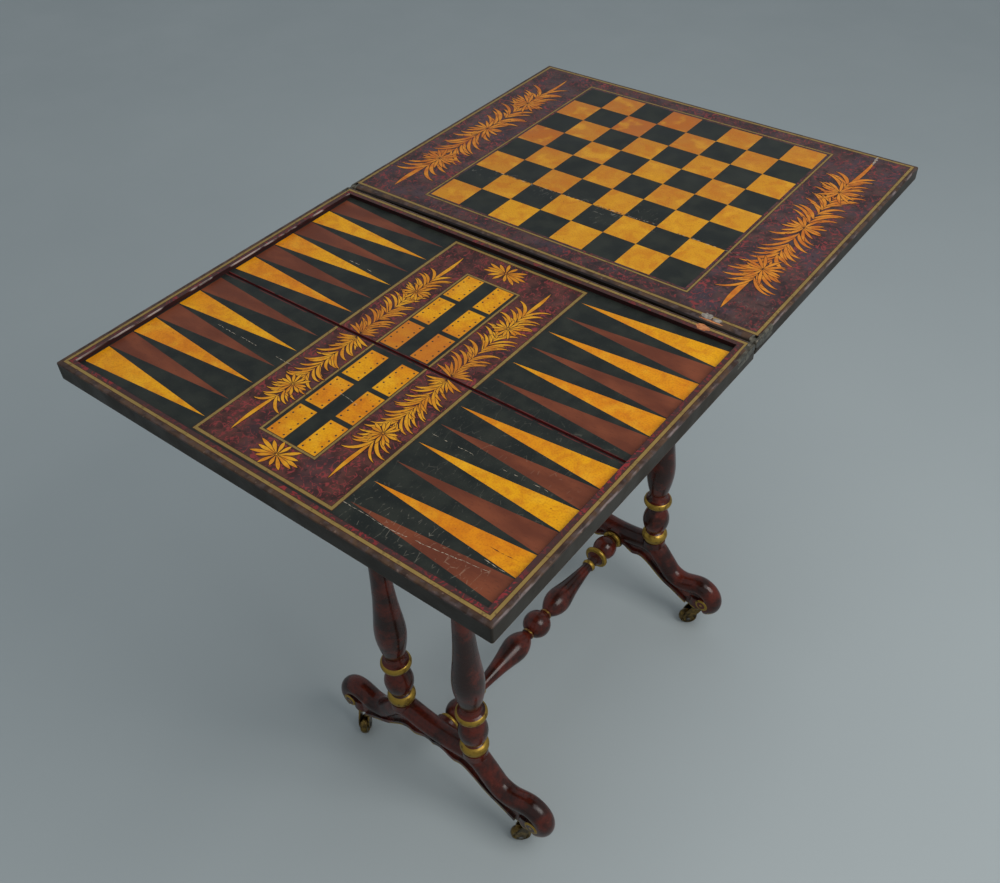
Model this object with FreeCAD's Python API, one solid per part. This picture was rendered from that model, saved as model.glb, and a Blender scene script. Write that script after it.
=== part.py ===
"""Folding games table: a swivelling fold-over top on a turned sledge-foot stand.

Frame: the origin is on the floor under the middle of the hinge line, +X runs along the hinge line,
+Y along the stretcher towards the upper (chess) leaf, +Z up. Everything is in millimetres and stands
as it does when the top is turned across the stand and laid open.
"""
import FreeCAD, Part
import math
import os

from FreeCAD import Vector

# ---- driving dimensions -------------------------------------------------------------------------
TABLE_H = 728.0            # floor to playing surface
LEAF_W = 504.0             # leaf, along the hinge line
LEAF_D = 387.0             # leaf, across the hinge line
LOWER_T = 18.0             # backgammon leaf, which turns on the stand
UPPER_T = 14.0             # chess leaf, which folds over it
SQUARE = 40.0              # one square of the chess board

HINGE_A = 4.5              # hinge pin below the playing surface, and radius of the hinge-line edges
HINGE_B = 4.65             # hinge pin to the hinge line
EDGE_HOLLOW = 2.6          # how far each leaf's hinge-line edge is hollow at mid-length

RIM_W = 13.0               # lipping round the backgammon well
WELL_DEPTH = 4.5
PANEL_T = 2.5              # painted ground in the well
PANEL_GAP = 3.6            # groove across the middle of the well
INLAY_T = 1.2
TONGUE = 4.0               # tongue of a board in its lipping or clamp
CLAMP_W = 50.0             # cross-grain clamp at each end of the upper leaf

COLUMN_X = 61.0            # turned columns, from the middle plane
COLUMN_Y = 216.0
CASTER_X = 145.0
FOOT_T = 34.0              # sledge foot, along the stretcher
PAD_Z = 140.0              # seat of the columns on the foot
SOLE_Z = 48.0              # underside of the toes
STRETCHER_Z = 112.0
TENON_R = 9.0              # round tenons of the columns
TENON_FOOT_Z = 119.0       # how deep they go into the foot
TENON_TOP = 16.0           # and into the bearer
STRETCHER_TENON_R = 8.0
SOCKET_R = 4.5             # socket of a caster plate

FRAME_X = 140.0            # half length of a bearer
BEARER_W = 34.0
BEARER_H = 39.8
RAIL_T = 20.0
RAIL_H = 33.0
BAIZE_T = 1.0
SLIDE_GAP = 0.2            # baize to the underside of the lower leaf

PIVOT_R = 6.0              # pivot stud
PIVOT_BOARD_W = 66.0
PIVOT_BOARD_T = 18.0
STOP_RADIUS = 36.0         # stop pin, from the pivot axis
STOP_R = 3.0

WHEEL_R = 14.0
WHEEL_W = 10.0
CASTER_TRAIL = 12.0
RUN_GAP = 0.05             # radial clearance of a running fit

# ---- worked-out places --------------------------------------------------------------------------
LEAF_X = LEAF_W / 2
UNDER_Z = TABLE_H - LOWER_T
UPPER_UNDER_Z = TABLE_H - UPPER_T
WELL_Z = TABLE_H - WELL_DEPTH
PANEL_Z = WELL_Z - PANEL_T
LEAF_EDGE_Y = HINGE_B - HINGE_A              # leaf edge to the hinge line
WELL_X = LEAF_X - RIM_W
WELL_Y0 = -LEAF_D + RIM_W                    # outer side of the well
WELL_Y1 = -RIM_W                             # hinge side of the well
WELL_MID_Y = (WELL_Y0 + WELL_Y1) / 2
BAIZE_Z = UNDER_Z - SLIDE_GAP - BAIZE_T
BEARER_Z = BAIZE_Z - BEARER_H
RAIL_IN_X = FRAME_X - RAIL_T
FOOT_IN_Y = COLUMN_Y - FOOT_T / 2
# The pivot is where a quarter turn brings the folded top square over the middle of the stand.
PIVOT_X = -LEAF_D / 4
PIVOT_Y = -LEAF_D / 4
PIVOT_BOARD_Z = UNDER_Z - 10.0               # top of the pivot board

CHESS_X = -163.0                             # corner of the chess board at the hinge
CHESS_Y = 37.6
CASTERS = {                                  # name: (x sign, y sign, trailing direction in degrees)
    "front_left": (-1, -1, 300.0),
    "front_right": (1, -1, 218.0),
    "rear_left": (-1, 1, 250.0),
    "rear_right": (1, 1, 215.0),
}


# ---- helpers ------------------------------------------------------------------------------------
def box(x0, x1, y0, y1, z0, z1):
    return Part.makeBox(x1 - x0, y1 - y0, z1 - z0, Vector(x0, y0, z0))


def rod(radius, start, end):
    """A cylinder between two points."""
    start, end = Vector(*start), Vector(*end)
    return Part.makeCylinder(radius, (end - start).Length, start, end - start)


def prism(points, direction):
    """A closed polygon pushed along a direction."""
    corners = [Vector(*p) for p in points]
    return Part.Face(Part.makePolygon(corners + corners[:1])).extrude(Vector(*direction))


def outline(start, segments, place):
    """A wire of straight lines, arcs and smooth curves. place maps an outline point into space."""
    here = start
    edges = []
    for kind, *points in segments:
        spots = [place(*p) for p in [here] + points]
        if kind == "line":
            edges.append(Part.LineSegment(spots[0], spots[1]).toShape())
        elif kind == "arc":
            edges.append(Part.Arc(*spots).toShape())
        else:
            curve = Part.BSplineCurve()
            curve.interpolate(spots)
            edges.append(curve.toShape())
        here = points[-1]
    return Part.Wire(edges)


def turned(start, segments):
    """A turning about Z from an outline of (radius, height), closed by a line if it is open."""
    if segments[-1][-1] != start:
        segments = segments + [("line", start)]
    wire = outline(start, segments, lambda r, h: Vector(r, 0, h))
    body = Part.Face(wire).revolve(Vector(0, 0, 0), Vector(0, 0, 1), 360)
    return body if body.Volume > 0 else body.reversed()


def path_pieces(start, moves):
    """Pieces of a smooth path in the XZ plane that sets off along +X.

    A move is ("line", length) or ("turn", radius, degrees). Each piece is given as
    (kind, start, end, centre, heading, turn)."""
    here, heading = Vector(start[0], 0, start[1]), 0.0
    pieces = []
    for kind, size, *angle in moves:
        turn = angle[0] if angle else 0.0
        if kind == "line":
            centre = None
            there = here + pointing(heading) * size
        else:
            side = 90 if turn > 0 else -90
            centre = here + pointing(heading + side) * size
            there = centre - pointing(heading + turn + side) * size
        pieces.append((kind, here, there, centre, heading, turn))
        here, heading = there, heading + turn
    return pieces


def pointing(heading):
    """Unit vector in the XZ plane, at an angle in degrees from +X towards +Z."""
    return Vector(math.cos(math.radians(heading)), 0, math.sin(math.radians(heading)))


def bead_along(pieces, radius):
    """A round bead along a path, as one solid for each of its pieces."""
    solids = []
    for kind, here, there, centre, heading, turn in pieces:
        if kind == "line":
            solids.append(rod(radius, here, there))
        else:
            ring = Part.Face(Part.Wire(Part.makeCircle(radius, here, pointing(heading))))
            solid = ring.revolve(centre, Vector(0, -1, 0), turn)
            solids.append(solid if solid.Volume > 0 else solid.reversed())
    return solids


def path_edges(pieces):
    edges = []
    for kind, here, there, centre, heading, turn in pieces:
        if kind == "line":
            edges.append(Part.LineSegment(here, there).toShape())
        else:
            side = 90 if turn > 0 else -90
            radius = (here - centre).Length
            middle = centre - pointing(heading + turn / 2 + side) * radius
            edges.append(Part.Arc(here, middle, there).toShape())
    return edges


def curve_edge(points):
    curve = Part.BSplineCurve()
    curve.interpolate([Vector(x, 0, z) for x, z in points])
    return curve.toShape()


def line_edge(start, end):
    return Part.LineSegment(Vector(start[0], 0, start[1]), Vector(end[0], 0, end[1])).toShape()


def plate_of(edges, thickness):
    """A closed outline in the XZ plane as a plate centred on that plane."""
    face = Part.Face(Part.Wire(Part.__sortEdges__(edges)))
    plate = face.extrude(Vector(0, thickness, 0))
    plate.translate(Vector(0, -thickness / 2, 0))
    return plate if plate.Volume > 0 else plate.reversed()


def fused_in_turn(solids):
    """One solid of many that touch tangentially, fused one after the other."""
    whole = solids[0]
    for solid in solids[1:]:
        whole = whole.fuse(solid)
    return whole


def edges_where(shape, test):
    return [e for e in shape.Edges if test(e.BoundBox)]


def mirrored(shape, normal):
    return shape.mirror(Vector(0, 0, 0), Vector(*normal))


def joined(shapes):
    """Separate solids kept together under one name."""
    return Part.makeCompound(shapes)


def at_end(shape, side):
    """A piece of one end of the stand, made with its inner face to +Y, in its place."""
    turn = FreeCAD.Rotation(Vector(0, 0, 1), 0 if side < 0 else 180)
    return shape.transformed(FreeCAD.Placement(Vector(0, side * COLUMN_Y, 0), turn).Matrix)


def aimed(shape, spot, direction):
    """A shape made pointing up at the origin, set at a spot and pointing along a direction."""
    turn = FreeCAD.Rotation(Vector(0, 0, 1), Vector(*direction))
    return shape.transformed(FreeCAD.Placement(Vector(*spot), turn).Matrix)


# ---- stand --------------------------------------------------------------------------------------
BEAD_R = 14.5                # round bead along the top of a foot
BEAD_START = (0, 119)
BEAD_MOVES = [("turn", 195, 13), ("turn", 28, -65), ("line", 32), ("turn", 30, 72), ("line", 14),
              ("turn", 21, -110), ("turn", 16, -60)]
UNDERSIDE = [(0, 103), (24, 101.5), (34, 97.5), (43, 100), (54, 97), (63, 91), (76, 80), (91, 69),
             (104, 62.5), (115, 56.5), (124, 51), (130, SOLE_Z)]
WEB_T = 22.0
RIB_T = 28.0
RIB_H = 6.5
EYE = (157, 62)              # middle of a toe's scroll


def foot_half():
    """One leg of a sledge foot: a round bead over a web, a rib below and a scrolled toe."""
    pieces = path_pieces(BEAD_START, BEAD_MOVES)
    tip = pieces[-1][2]
    under, middle = UNDERSIDE[-1], UNDERSIDE[0]
    web = plate_of(path_edges(pieces) + [
        line_edge((tip.x, tip.z), (158, SOLE_Z)), line_edge((158, SOLE_Z), under),
        curve_edge(UNDERSIDE), line_edge(middle, BEAD_START)], WEB_T)
    ledge = [(x, z + RIB_H) for x, z in UNDERSIDE]
    rib = plate_of([curve_edge(UNDERSIDE), curve_edge(ledge), line_edge(middle, ledge[0]),
                    line_edge(under, ledge[-1])], RIB_T)
    pads = [rod(FOOT_T / 2 - 0.1, (COLUMN_X, 0, PAD_Z - 12), (COLUMN_X, 0, PAD_Z)),
            rod(14.2, (CASTER_X, 0, SOLE_Z), (CASTER_X, 0, SOLE_Z + 20))]
    eye = rod(10.0, (EYE[0], -15.5, EYE[1]), (EYE[0], 15.5, EYE[1]))
    pads.append(eye.makeFillet(2.5, edges_where(eye, lambda b: b.YLength < 0.01)))
    return fused_in_turn([web] + bead_along(pieces, BEAD_R) + [rib] + pads)


def foot():
    """Sledge foot: two legs, the boss for the stretcher and the sockets of what it carries."""
    half = foot_half()
    boss = rod(17.0, (0, -3, STRETCHER_Z), (0, FOOT_T / 2, STRETCHER_Z))
    boss = boss.makeFillet(4.0, edges_where(boss, lambda b: b.YMax < -2))
    blank = fused_in_turn([half, mirrored(half, (1, 0, 0)), boss]).removeSplitter()
    cuts = []
    for s in (1, -1):
        x = s * COLUMN_X
        cuts.append(rod(TENON_R, (x, 0, TENON_FOOT_Z), (x, 0, PAD_Z + 1)))
        x = s * CASTER_X
        cuts.append(rod(SOCKET_R, (x, 0, SOLE_Z - 1), (x, 0, SOLE_Z + 16)))
        cuts.append(rod(14.4, (x, 0, 0), (x, 0, SOLE_Z)))
    cuts.append(rod(STRETCHER_TENON_R, (0, FOOT_T / 2 - 14, STRETCHER_Z),
                    (0, FOOT_T / 2 + 1, STRETCHER_Z)))
    return blank.cut(Part.makeCompound(cuts + caster_screws()))


def column():
    """Turned column, with a tenon at each end."""
    top = BEARER_Z
    return turned((0, TENON_FOOT_Z), [
        ("line", (TENON_R, TENON_FOOT_Z)), ("line", (TENON_R, PAD_Z)), ("line", (16, PAD_Z)),
        ("line", (16, 142.5)), ("arc", (18.8, 149), (16, 155.5)), ("line", (11.5, 158.5)),
        ("arc", (19.3, 181.5), (11.5, 204.5)), ("line", (11.5, 208)),
        ("arc", (13.5, 212.5), (17.4, 215)), ("arc", (20.3, 220.5), (17.4, 226)),
        ("line", (14.5, 227.5)), ("arc", (13.2, 230), (12.6, 234)), ("line", (12.6, 237)),
        ("curve", (17.4, 258), (20, 283), (17.6, 316), (14.3, 352), (12.3, 396),
         (10.9, 450), (10, 520), (9.8, 548)),
        ("line", (12, 550)), ("arc", (14.6, 556), (12, 562)), ("line", (9.8, 564)),
        ("line", (9.8, 574)), ("arc", (15.5, 592), (9.8, 610)), ("line", (9.8, 618)),
        ("curve", (11.6, 640), (18.5, 655)), ("line", (20, 657)), ("line", (20, top)),
        ("line", (TENON_R, top)), ("line", (TENON_R, top + TENON_TOP)),
        ("line", (0, top + TENON_TOP))])


def stretcher():
    """Turned stretcher: a middle ball between two vases, with collars and end balls."""
    end = FOOT_IN_Y
    half = turned((0, 0), [
        ("line", (20, 0)), ("arc", (15, 13.2), (7.6, 18.4)), ("line", (9.2, 20)),
        ("line", (9.2, 22.4)), ("line", (7.2, 24)),
        ("curve", (13.8, 33), (18.4, 48), (15, 73), (10.2, 104), (7.8, 128)),
        ("line", (9.6, 130)), ("arc", (10.2, 132.5), (9.6, 135)), ("line", (8, 136.5)),
        ("line", (8, 147)), ("line", (14, 150)), ("arc", (18.4, 153), (14, 156)),
        ("line", (8.5, 159)), ("arc", (17.6, 176), (9.5, 192)), ("line", (12, 193)),
        ("arc", (15, 196), (12.5, end)), ("line", (STRETCHER_TENON_R, end)),
        ("line", (STRETCHER_TENON_R, end + 13.5)), ("line", (0, end + 13.5))])
    whole = half.fuse(mirrored(half, (0, 0, 1))).removeSplitter()
    return aimed(whole, (0, 0, STRETCHER_Z), (0, 1, 0))


def bearer():
    """Cross bearer on a pair of columns, its ends swept up, housed for the rails."""
    top, low = BAIZE_Z, BEARER_Z
    wire = outline((-FRAME_X, top), [
        ("line", (FRAME_X, top)), ("line", (FRAME_X, top - 16)),
        ("arc", (FRAME_X - 14, top - 20), (FRAME_X - 24, top - 31)),
        ("arc", (FRAME_X - 31, top - 37), (FRAME_X - 42, low)),
        ("line", (-FRAME_X + 42, low)),
        ("arc", (-FRAME_X + 31, top - 37), (-FRAME_X + 24, top - 31)),
        ("arc", (-FRAME_X + 14, top - 20), (-FRAME_X, top - 16)),
        ("line", (-FRAME_X, top))], lambda x, z: Vector(x, -BEARER_W / 2, z))
    body = Part.Face(wire).extrude(Vector(0, BEARER_W, 0))
    cuts = [rod(TENON_R, (s * COLUMN_X, 0, low - 1), (s * COLUMN_X, 0, low + TENON_TOP))
            for s in (1, -1)]
    # Stub tenons of the rails enter the inner face, which is at +Y before the bearer is placed.
    cuts += [rail_tenon(s, BEARER_W / 2 - 12, BEARER_W / 2 + 1) for s in (1, -1)]
    return body.cut(Part.makeCompound(cuts))


def rail_tenon(side, y0, y1):
    middle = side * (FRAME_X - RAIL_T / 2)
    return box(middle - 5, middle + 5, y0, y1, BAIZE_Z - 14, BAIZE_Z - 4)


def rail(side):
    """Long rail between the bearers, housed on its inner face for the pivot board."""
    half = COLUMN_Y - BEARER_W / 2
    x0, x1 = sorted((side * RAIL_IN_X, side * FRAME_X))
    body = box(x0, x1, -half, half, BAIZE_Z - RAIL_H, BAIZE_Z)
    body = body.makeChamfer(2.5, edges_where(
        body, lambda b: b.YLength > 100 and b.ZMax < BAIZE_Z - 1))
    tenons = rail_tenon(side, half, half + 11.5).fuse(rail_tenon(side, -half - 11.5, -half))
    return body.fuse(tenons).cut(pivot_board_blank()).removeSplitter()


def pivot_board_blank():
    y0 = PIVOT_Y - PIVOT_BOARD_W / 2
    reach = RAIL_IN_X + 8
    return box(-reach, reach, y0, y0 + PIVOT_BOARD_W,
               PIVOT_BOARD_Z - PIVOT_BOARD_T, PIVOT_BOARD_Z)


def pivot_board():
    """Cross board that carries the bush of the pivot and the stop pin."""
    board = pivot_board_blank()
    low = PIVOT_BOARD_Z - PIVOT_BOARD_T
    hole = rod(9.0, (PIVOT_X, PIVOT_Y, low - 1), (PIVOT_X, PIVOT_Y, PIVOT_BOARD_Z + 1))
    stop = rod(STOP_R, (PIVOT_X + STOP_RADIUS, PIVOT_Y, low + 4),
               (PIVOT_X + STOP_RADIUS, PIVOT_Y, PIVOT_BOARD_Z + 1))
    return board.cut(hole).cut(stop)


def pivot_bush():
    """Flanged bush pressed into the pivot board."""
    low = PIVOT_BOARD_Z - PIVOT_BOARD_T
    bush = turned((PIVOT_R + RUN_GAP, low), [
        ("line", (9, low)), ("line", (9, PIVOT_BOARD_Z)), ("line", (13, PIVOT_BOARD_Z)),
        ("line", (13, PIVOT_BOARD_Z + 2)), ("line", (PIVOT_R + RUN_GAP, PIVOT_BOARD_Z + 2))])
    bush.translate(Vector(PIVOT_X, PIVOT_Y, 0))
    return bush


def stop_pin():
    x = PIVOT_X + STOP_RADIUS
    low = PIVOT_BOARD_Z - PIVOT_BOARD_T + 4
    pin = rod(STOP_R, (x, PIVOT_Y, low), (x, PIVOT_Y, UNDER_Z + 5))
    return pin.makeChamfer(0.6, edges_where(pin, lambda b: b.ZMin > UNDER_Z + 4))


def baize_strips():
    """Lining on the bearers and rails for the top to turn on."""
    inner = COLUMN_Y - BEARER_W / 2
    strips = []
    for s in (1, -1):
        y0, y1 = sorted((s * inner, s * (inner + BEARER_W)))
        x0, x1 = sorted((s * RAIL_IN_X, s * FRAME_X))
        strips.append(box(-FRAME_X, FRAME_X, y0, y1, BAIZE_Z, BAIZE_Z + BAIZE_T))
        strips.append(box(x0, x1, -inner, inner, BAIZE_Z, BAIZE_Z + BAIZE_T))
    return joined(strips)


# ---- casters ------------------------------------------------------------------------------------
PLATE_T = 2.0
SPINDLE_R = 3.0
AXLE_R = 2.0
CHEEK_GAP = 0.6              # wheel to cheek
CHEEK_W = 2.2


def caster_plates():
    """Round plates of one foot, each with a socket that goes up into its toe."""
    plate = turned((SPINDLE_R + RUN_GAP, -PLATE_T), [
        ("line", (12.6, -PLATE_T)), ("line", (12.6, -0.6)), ("line", (12, 0)),
        ("line", (SOCKET_R, 0)), ("line", (SOCKET_R, 15.5)), ("line", (0, 15.5)), ("line", (0, 14)),
        ("line", (SPINDLE_R + RUN_GAP, 14))])
    cutter = Part.makeCompound(caster_screws())
    return [plate.translated(Vector(s * CASTER_X, 0, SOLE_Z)).cut(cutter) for s in (1, -1)]


def caster_screws():
    """Three screws up through each plate of one foot."""
    screw = turned((0, -PLATE_T), [
        ("line", (2.2, -PLATE_T)), ("line", (1.2, 0)), ("line", (1.2, 7)), ("line", (0, 9))])
    screws = []
    for s in (1, -1):
        for angle in (90, 210, 330):
            spot = FreeCAD.Rotation(Vector(0, 0, 1), angle).multVec(Vector(8.5, 0, 0))
            screws.append(screw.translated(spot + Vector(s * CASTER_X, 0, SOLE_Z)))
    return screws


def caster_fork():
    """Horn of the caster, trailing along +X; z = 0 is the floor."""
    crown_z = SOLE_Z - PLATE_T - SLIDE_GAP
    arm_in = WHEEL_W / 2 + CHEEK_GAP
    arm_out = arm_in + CHEEK_W
    crown = turned((0, crown_z), [
        ("line", (11.5, crown_z)), ("line", (11.5, crown_z - 1.5)),
        ("arc", (10, crown_z - 5), (6, crown_z - 7)), ("line", (0, crown_z - 7))])
    spindle = rod(SPINDLE_R, (0, 0, crown_z - 1), (0, 0, SOLE_Z + 13.5))
    cheek = outline((-5, crown_z - 3), [
        ("line", (7, crown_z - 3)),
        ("curve", (13, 33), (18, 24), (18.5, WHEEL_R)),
        ("arc", (CASTER_TRAIL, WHEEL_R - 6.5), (5.5, WHEEL_R)),
        ("curve", (3, 22), (-3, 30), (-5, crown_z - 3))], lambda x, z: Vector(x, -arm_out, z))
    cheeks = Part.Face(cheek).extrude(Vector(0, 2 * arm_out, 0))
    slot = box(-30, 30, -arm_in, arm_in, -10, crown_z - 8.5)
    bridge = box(-30, 30, -arm_in, arm_in, crown_z - 8.5, crown_z)
    arms = cheeks.cut(slot).cut(bridge)
    web = box(-5, 9, -arm_out, arm_out, crown_z - 7, crown_z - 3)
    hub = rod(AXLE_R, (CASTER_TRAIL, -arm_out - 1, WHEEL_R), (CASTER_TRAIL, arm_out + 1, WHEEL_R))
    return crown.fuse([spindle, arms, web]).cut(hub).removeSplitter()


def caster_wheel():
    """Wheel with a rounded tread and a dished face, about an axis along Y at the floor's z = 0."""
    half = WHEEL_W / 2
    bore = AXLE_R + RUN_GAP
    wheel = turned((bore, -half), [
        ("line", (4.5, -half)), ("line", (5.5, -half + 1.5)), ("line", (9.5, -half + 1.5)),
        ("line", (10.5, -half)), ("line", (12, -half)),
        ("arc", (WHEEL_R, 0), (12, half)), ("line", (10.5, half)), ("line", (9.5, half - 1.5)),
        ("line", (5.5, half - 1.5)), ("line", (4.5, half)), ("line", (bore, half))])
    return aimed(wheel, (CASTER_TRAIL, 0, WHEEL_R), (0, 1, 0))


def caster_axle():
    reach = WHEEL_W / 2 + CHEEK_GAP + CHEEK_W
    axle = turned((0, -reach - 1.2), [
        ("line", (2.3, -reach - 1.2)), ("line", (3, -reach - 0.5)), ("line", (3, -reach)),
        ("line", (AXLE_R, -reach)), ("line", (AXLE_R, reach)), ("line", (3, reach)),
        ("line", (3, reach + 0.5)), ("line", (2.3, reach + 1.2)), ("line", (0, reach + 1.2))])
    return aimed(axle, (CASTER_TRAIL, 0, WHEEL_R), (0, 1, 0))


def at_caster(shape, name):
    """A caster piece made about the origin, set under its toe and turned to its heading."""
    sx, sy, heading = CASTERS[name]
    spot = FreeCAD.Placement(Vector(sx * CASTER_X, sy * COLUMN_Y, 0),
                             FreeCAD.Rotation(Vector(0, 0, 1), heading))
    return shape.transformed(spot.Matrix)


# ---- leaves -------------------------------------------------------------------------------------
def leaf_blank(thickness):
    """A leaf on the -Y side of the hinge line, with its arrises rounded and its edge hollowed."""
    z0 = TABLE_H - thickness
    blank = box(-LEAF_X, LEAF_X, -LEAF_D, -LEAF_EDGE_Y, z0, TABLE_H)
    blank = blank.makeFillet(2.0, edges_where(
        blank, lambda b: b.ZLength > 1 and b.YMin < -LEAF_D + 1))
    blank = blank.makeFillet(HINGE_A, edges_where(
        blank, lambda b: b.XLength > 1 and b.YMin > -1 and b.ZMin > TABLE_H - 1))
    blank = blank.makeFillet(1.2, edges_where(
        blank, lambda b: b.ZMin > TABLE_H - 0.01 and b.YMax < -1))
    hollow = outline((-LEAF_X + 12, -LEAF_EDGE_Y), [
        ("arc", (0, -LEAF_EDGE_Y - EDGE_HOLLOW), (LEAF_X - 12, -LEAF_EDGE_Y)),
        ("line", (-LEAF_X + 12, -LEAF_EDGE_Y))], lambda x, y: Vector(x, y, z0 - 1))
    return blank.cut(Part.Face(hollow).extrude(Vector(0, 0, thickness + 2)))


def turned_over(shape):
    """A piece of the -Y leaf as the matching piece of the +Y leaf."""
    return mirrored(shape, (0, 1, 0))


def rims():
    """Four mitred lippings that stand proud of the well and are grooved for the board."""
    ring = leaf_blank(LOWER_T)
    ring = ring.cut(box(-WELL_X, WELL_X, WELL_Y0, WELL_Y1, UNDER_Z - 1, TABLE_H + 1))
    ring = ring.cut(lower_board_blank()).cut(hinge_recess(1)).cut(hinge_recess(-1))
    far, side = -LEAF_D, LEAF_X
    inner = WELL_X - 100
    wedges = {
        "rim_left": [(-side, far), (-inner, far + side - inner), (-inner, inner - side),
                     (-side, 0)],
        "rim_outer": [(-side, far), (side, far), (inner, far + side - inner),
                      (-inner, far + side - inner)],
        "rim_hinge": [(-side, 0), (-inner, inner - side), (inner, inner - side), (side, 0)],
    }
    wedges["rim_right"] = [(-x, y) for x, y in wedges["rim_left"]]
    pieces = {}
    for name, corners in wedges.items():
        wedge = prism([(x, y, UNDER_Z - 5) for x, y in corners], (0, 0, LOWER_T + 10))
        pieces[name] = ring.common(wedge)
    return pieces


def lower_board_blank():
    board = box(-WELL_X, WELL_X, WELL_Y0, WELL_Y1, UNDER_Z, PANEL_Z)
    tongue = box(-WELL_X - TONGUE, WELL_X + TONGUE, WELL_Y0 - TONGUE, WELL_Y1 + TONGUE,
                 UNDER_Z + 4, UNDER_Z + 8)
    return board.fuse(tongue).removeSplitter()


PLATE_SPOTS = [(17 * math.cos(math.radians(a)), 17 * math.sin(math.radians(a)))
               for a in (45, 135, 225, 315)]
PIVOT_PLATE_R = 24.0
PIVOT_PLATE_T = 3.0


def lower_board():
    """Ground board of the lower leaf, let in below for the pivot plate and grooved for the stop."""
    plate = rod(PIVOT_PLATE_R, (PIVOT_X, PIVOT_Y, UNDER_Z - 1),
                (PIVOT_X, PIVOT_Y, UNDER_Z + PIVOT_PLATE_T))
    holes = [rod(1.35, (PIVOT_X + x, PIVOT_Y + y, UNDER_Z), (PIVOT_X + x, PIVOT_Y + y, UNDER_Z + 9))
             for x, y in PLATE_SPOTS]
    return lower_board_blank().cut(plate).cut(stop_groove()).cut(Part.makeCompound(holes))


def stop_groove():
    """Quarter-round groove in which the stop pin travels as the top turns."""
    half = STOP_R + 0.5
    depth = 6.0
    outer = rod(STOP_RADIUS + half, (0, 0, -1), (0, 0, depth))
    ring = outer.cut(rod(STOP_RADIUS - half, (0, 0, -2), (0, 0, depth + 1)))
    quarter = ring.common(box(0, STOP_RADIUS + half, -STOP_RADIUS - half, 0, -2, depth + 1))
    ends = [rod(half, (STOP_RADIUS, 0, -1), (STOP_RADIUS, 0, depth)),
            rod(half, (0, -STOP_RADIUS, -1), (0, -STOP_RADIUS, depth))]
    groove = quarter.fuse(ends)
    groove.translate(Vector(PIVOT_X, PIVOT_Y, UNDER_Z))
    return groove


def pivot_plate():
    """Plate let into the lower leaf, with the stud that turns in the bush."""
    z = UNDER_Z
    plate = turned((0, z + PIVOT_PLATE_T), [
        ("line", (PIVOT_PLATE_R, z + PIVOT_PLATE_T)), ("line", (PIVOT_PLATE_R, z)),
        ("line", (9, z)), ("line", (PIVOT_R, z - 3)), ("line", (PIVOT_R, z - 42)),
        ("line", (PIVOT_R - 1, z - 43)), ("line", (0, z - 43))])
    plate.translate(Vector(PIVOT_X, PIVOT_Y, 0))
    for x, y in PLATE_SPOTS:
        plate = plate.cut(Part.makeCone(3.0, 1.35, PIVOT_PLATE_T,
                                        Vector(PIVOT_X + x, PIVOT_Y + y, z), Vector(0, 0, 1)))
    return plate


def pivot_plate_screws():
    screw = turned((0, 0), [("line", (3.0, 0)), ("line", (1.35, PIVOT_PLATE_T)),
                            ("line", (1.35, 7.5)), ("line", (0, 9))])
    return joined([aimed(screw, (PIVOT_X + x, PIVOT_Y + y, UNDER_Z), (0, 0, 1))
                   for x, y in PLATE_SPOTS])


def pivot_washer():
    top = PIVOT_BOARD_Z - PIVOT_BOARD_T - SLIDE_GAP
    washer = rod(14.0, (PIVOT_X, PIVOT_Y, top - 2.5), (PIVOT_X, PIVOT_Y, top))
    return washer.cut(rod(PIVOT_R, (PIVOT_X, PIVOT_Y, top - 5), (PIVOT_X, PIVOT_Y, top + 5)))


def pivot_nut():
    top = PIVOT_BOARD_Z - PIVOT_BOARD_T - SLIDE_GAP - 2.5
    hexagon = [(PIVOT_X + 11 * math.cos(math.radians(60 * k)),
                PIVOT_Y + 11 * math.sin(math.radians(60 * k)), top - 9) for k in range(6)]
    nut = prism(hexagon, (0, 0, 9))
    nut = nut.common(turned((0, top - 9), [
        ("line", (9.6, top - 9)), ("line", (11.2, top - 8)), ("line", (11.2, top)),
        ("line", (0, top))]).translated(Vector(PIVOT_X, PIVOT_Y, 0)))
    return nut.cut(rod(PIVOT_R, (PIVOT_X, PIVOT_Y, top - 12), (PIVOT_X, PIVOT_Y, top + 2)))


POINT_BASE_X = WELL_X - 1.5
POINT_TIP_X = 86.0
POINT_PITCH = 27.4
POINT_HALF = 13.2
FIRST_POINT = 23.0


def well_points(parity):
    """Backgammon points of one colour, as prisms let into the well panels."""
    prisms = []
    for n in range(12):
        steps = 5 - n if n < 6 else n - 6
        way = 1 if n < 6 else -1
        y = WELL_MID_Y + way * (FIRST_POINT + steps * POINT_PITCH)
        for side in (1, -1):
            amber = (n % 2 == 0) == (side == 1)
            if amber == parity:
                base = side * POINT_BASE_X
                prisms.append(prism([(base, y - POINT_HALF, WELL_Z - INLAY_T),
                                     (side * POINT_TIP_X, y, WELL_Z - INLAY_T),
                                     (base, y + POINT_HALF, WELL_Z - INLAY_T)], (0, 0, INLAY_T)))
    return joined(prisms)


CRIB_X = -2.8
CRIB_INNER = 8.2
CRIB_OUTER = 28.6
CRIB_STARTS = (6.5, 52.0, 97.5)
CRIB_LENGTH = 40.0


def cribbage_blocks():
    """Twelve scoring blocks in the middle panel."""
    blocks = []
    for way in (1, -1):
        for start in CRIB_STARTS:
            y0, y1 = sorted((WELL_MID_Y + way * start, WELL_MID_Y + way * (start + CRIB_LENGTH)))
            for side in (1, -1):
                x0, x1 = sorted((CRIB_X + side * CRIB_INNER, CRIB_X + side * CRIB_OUTER))
                blocks.append(box(x0, x1, y0, y1, WELL_Z - INLAY_T, WELL_Z))
    return joined(blocks)


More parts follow.
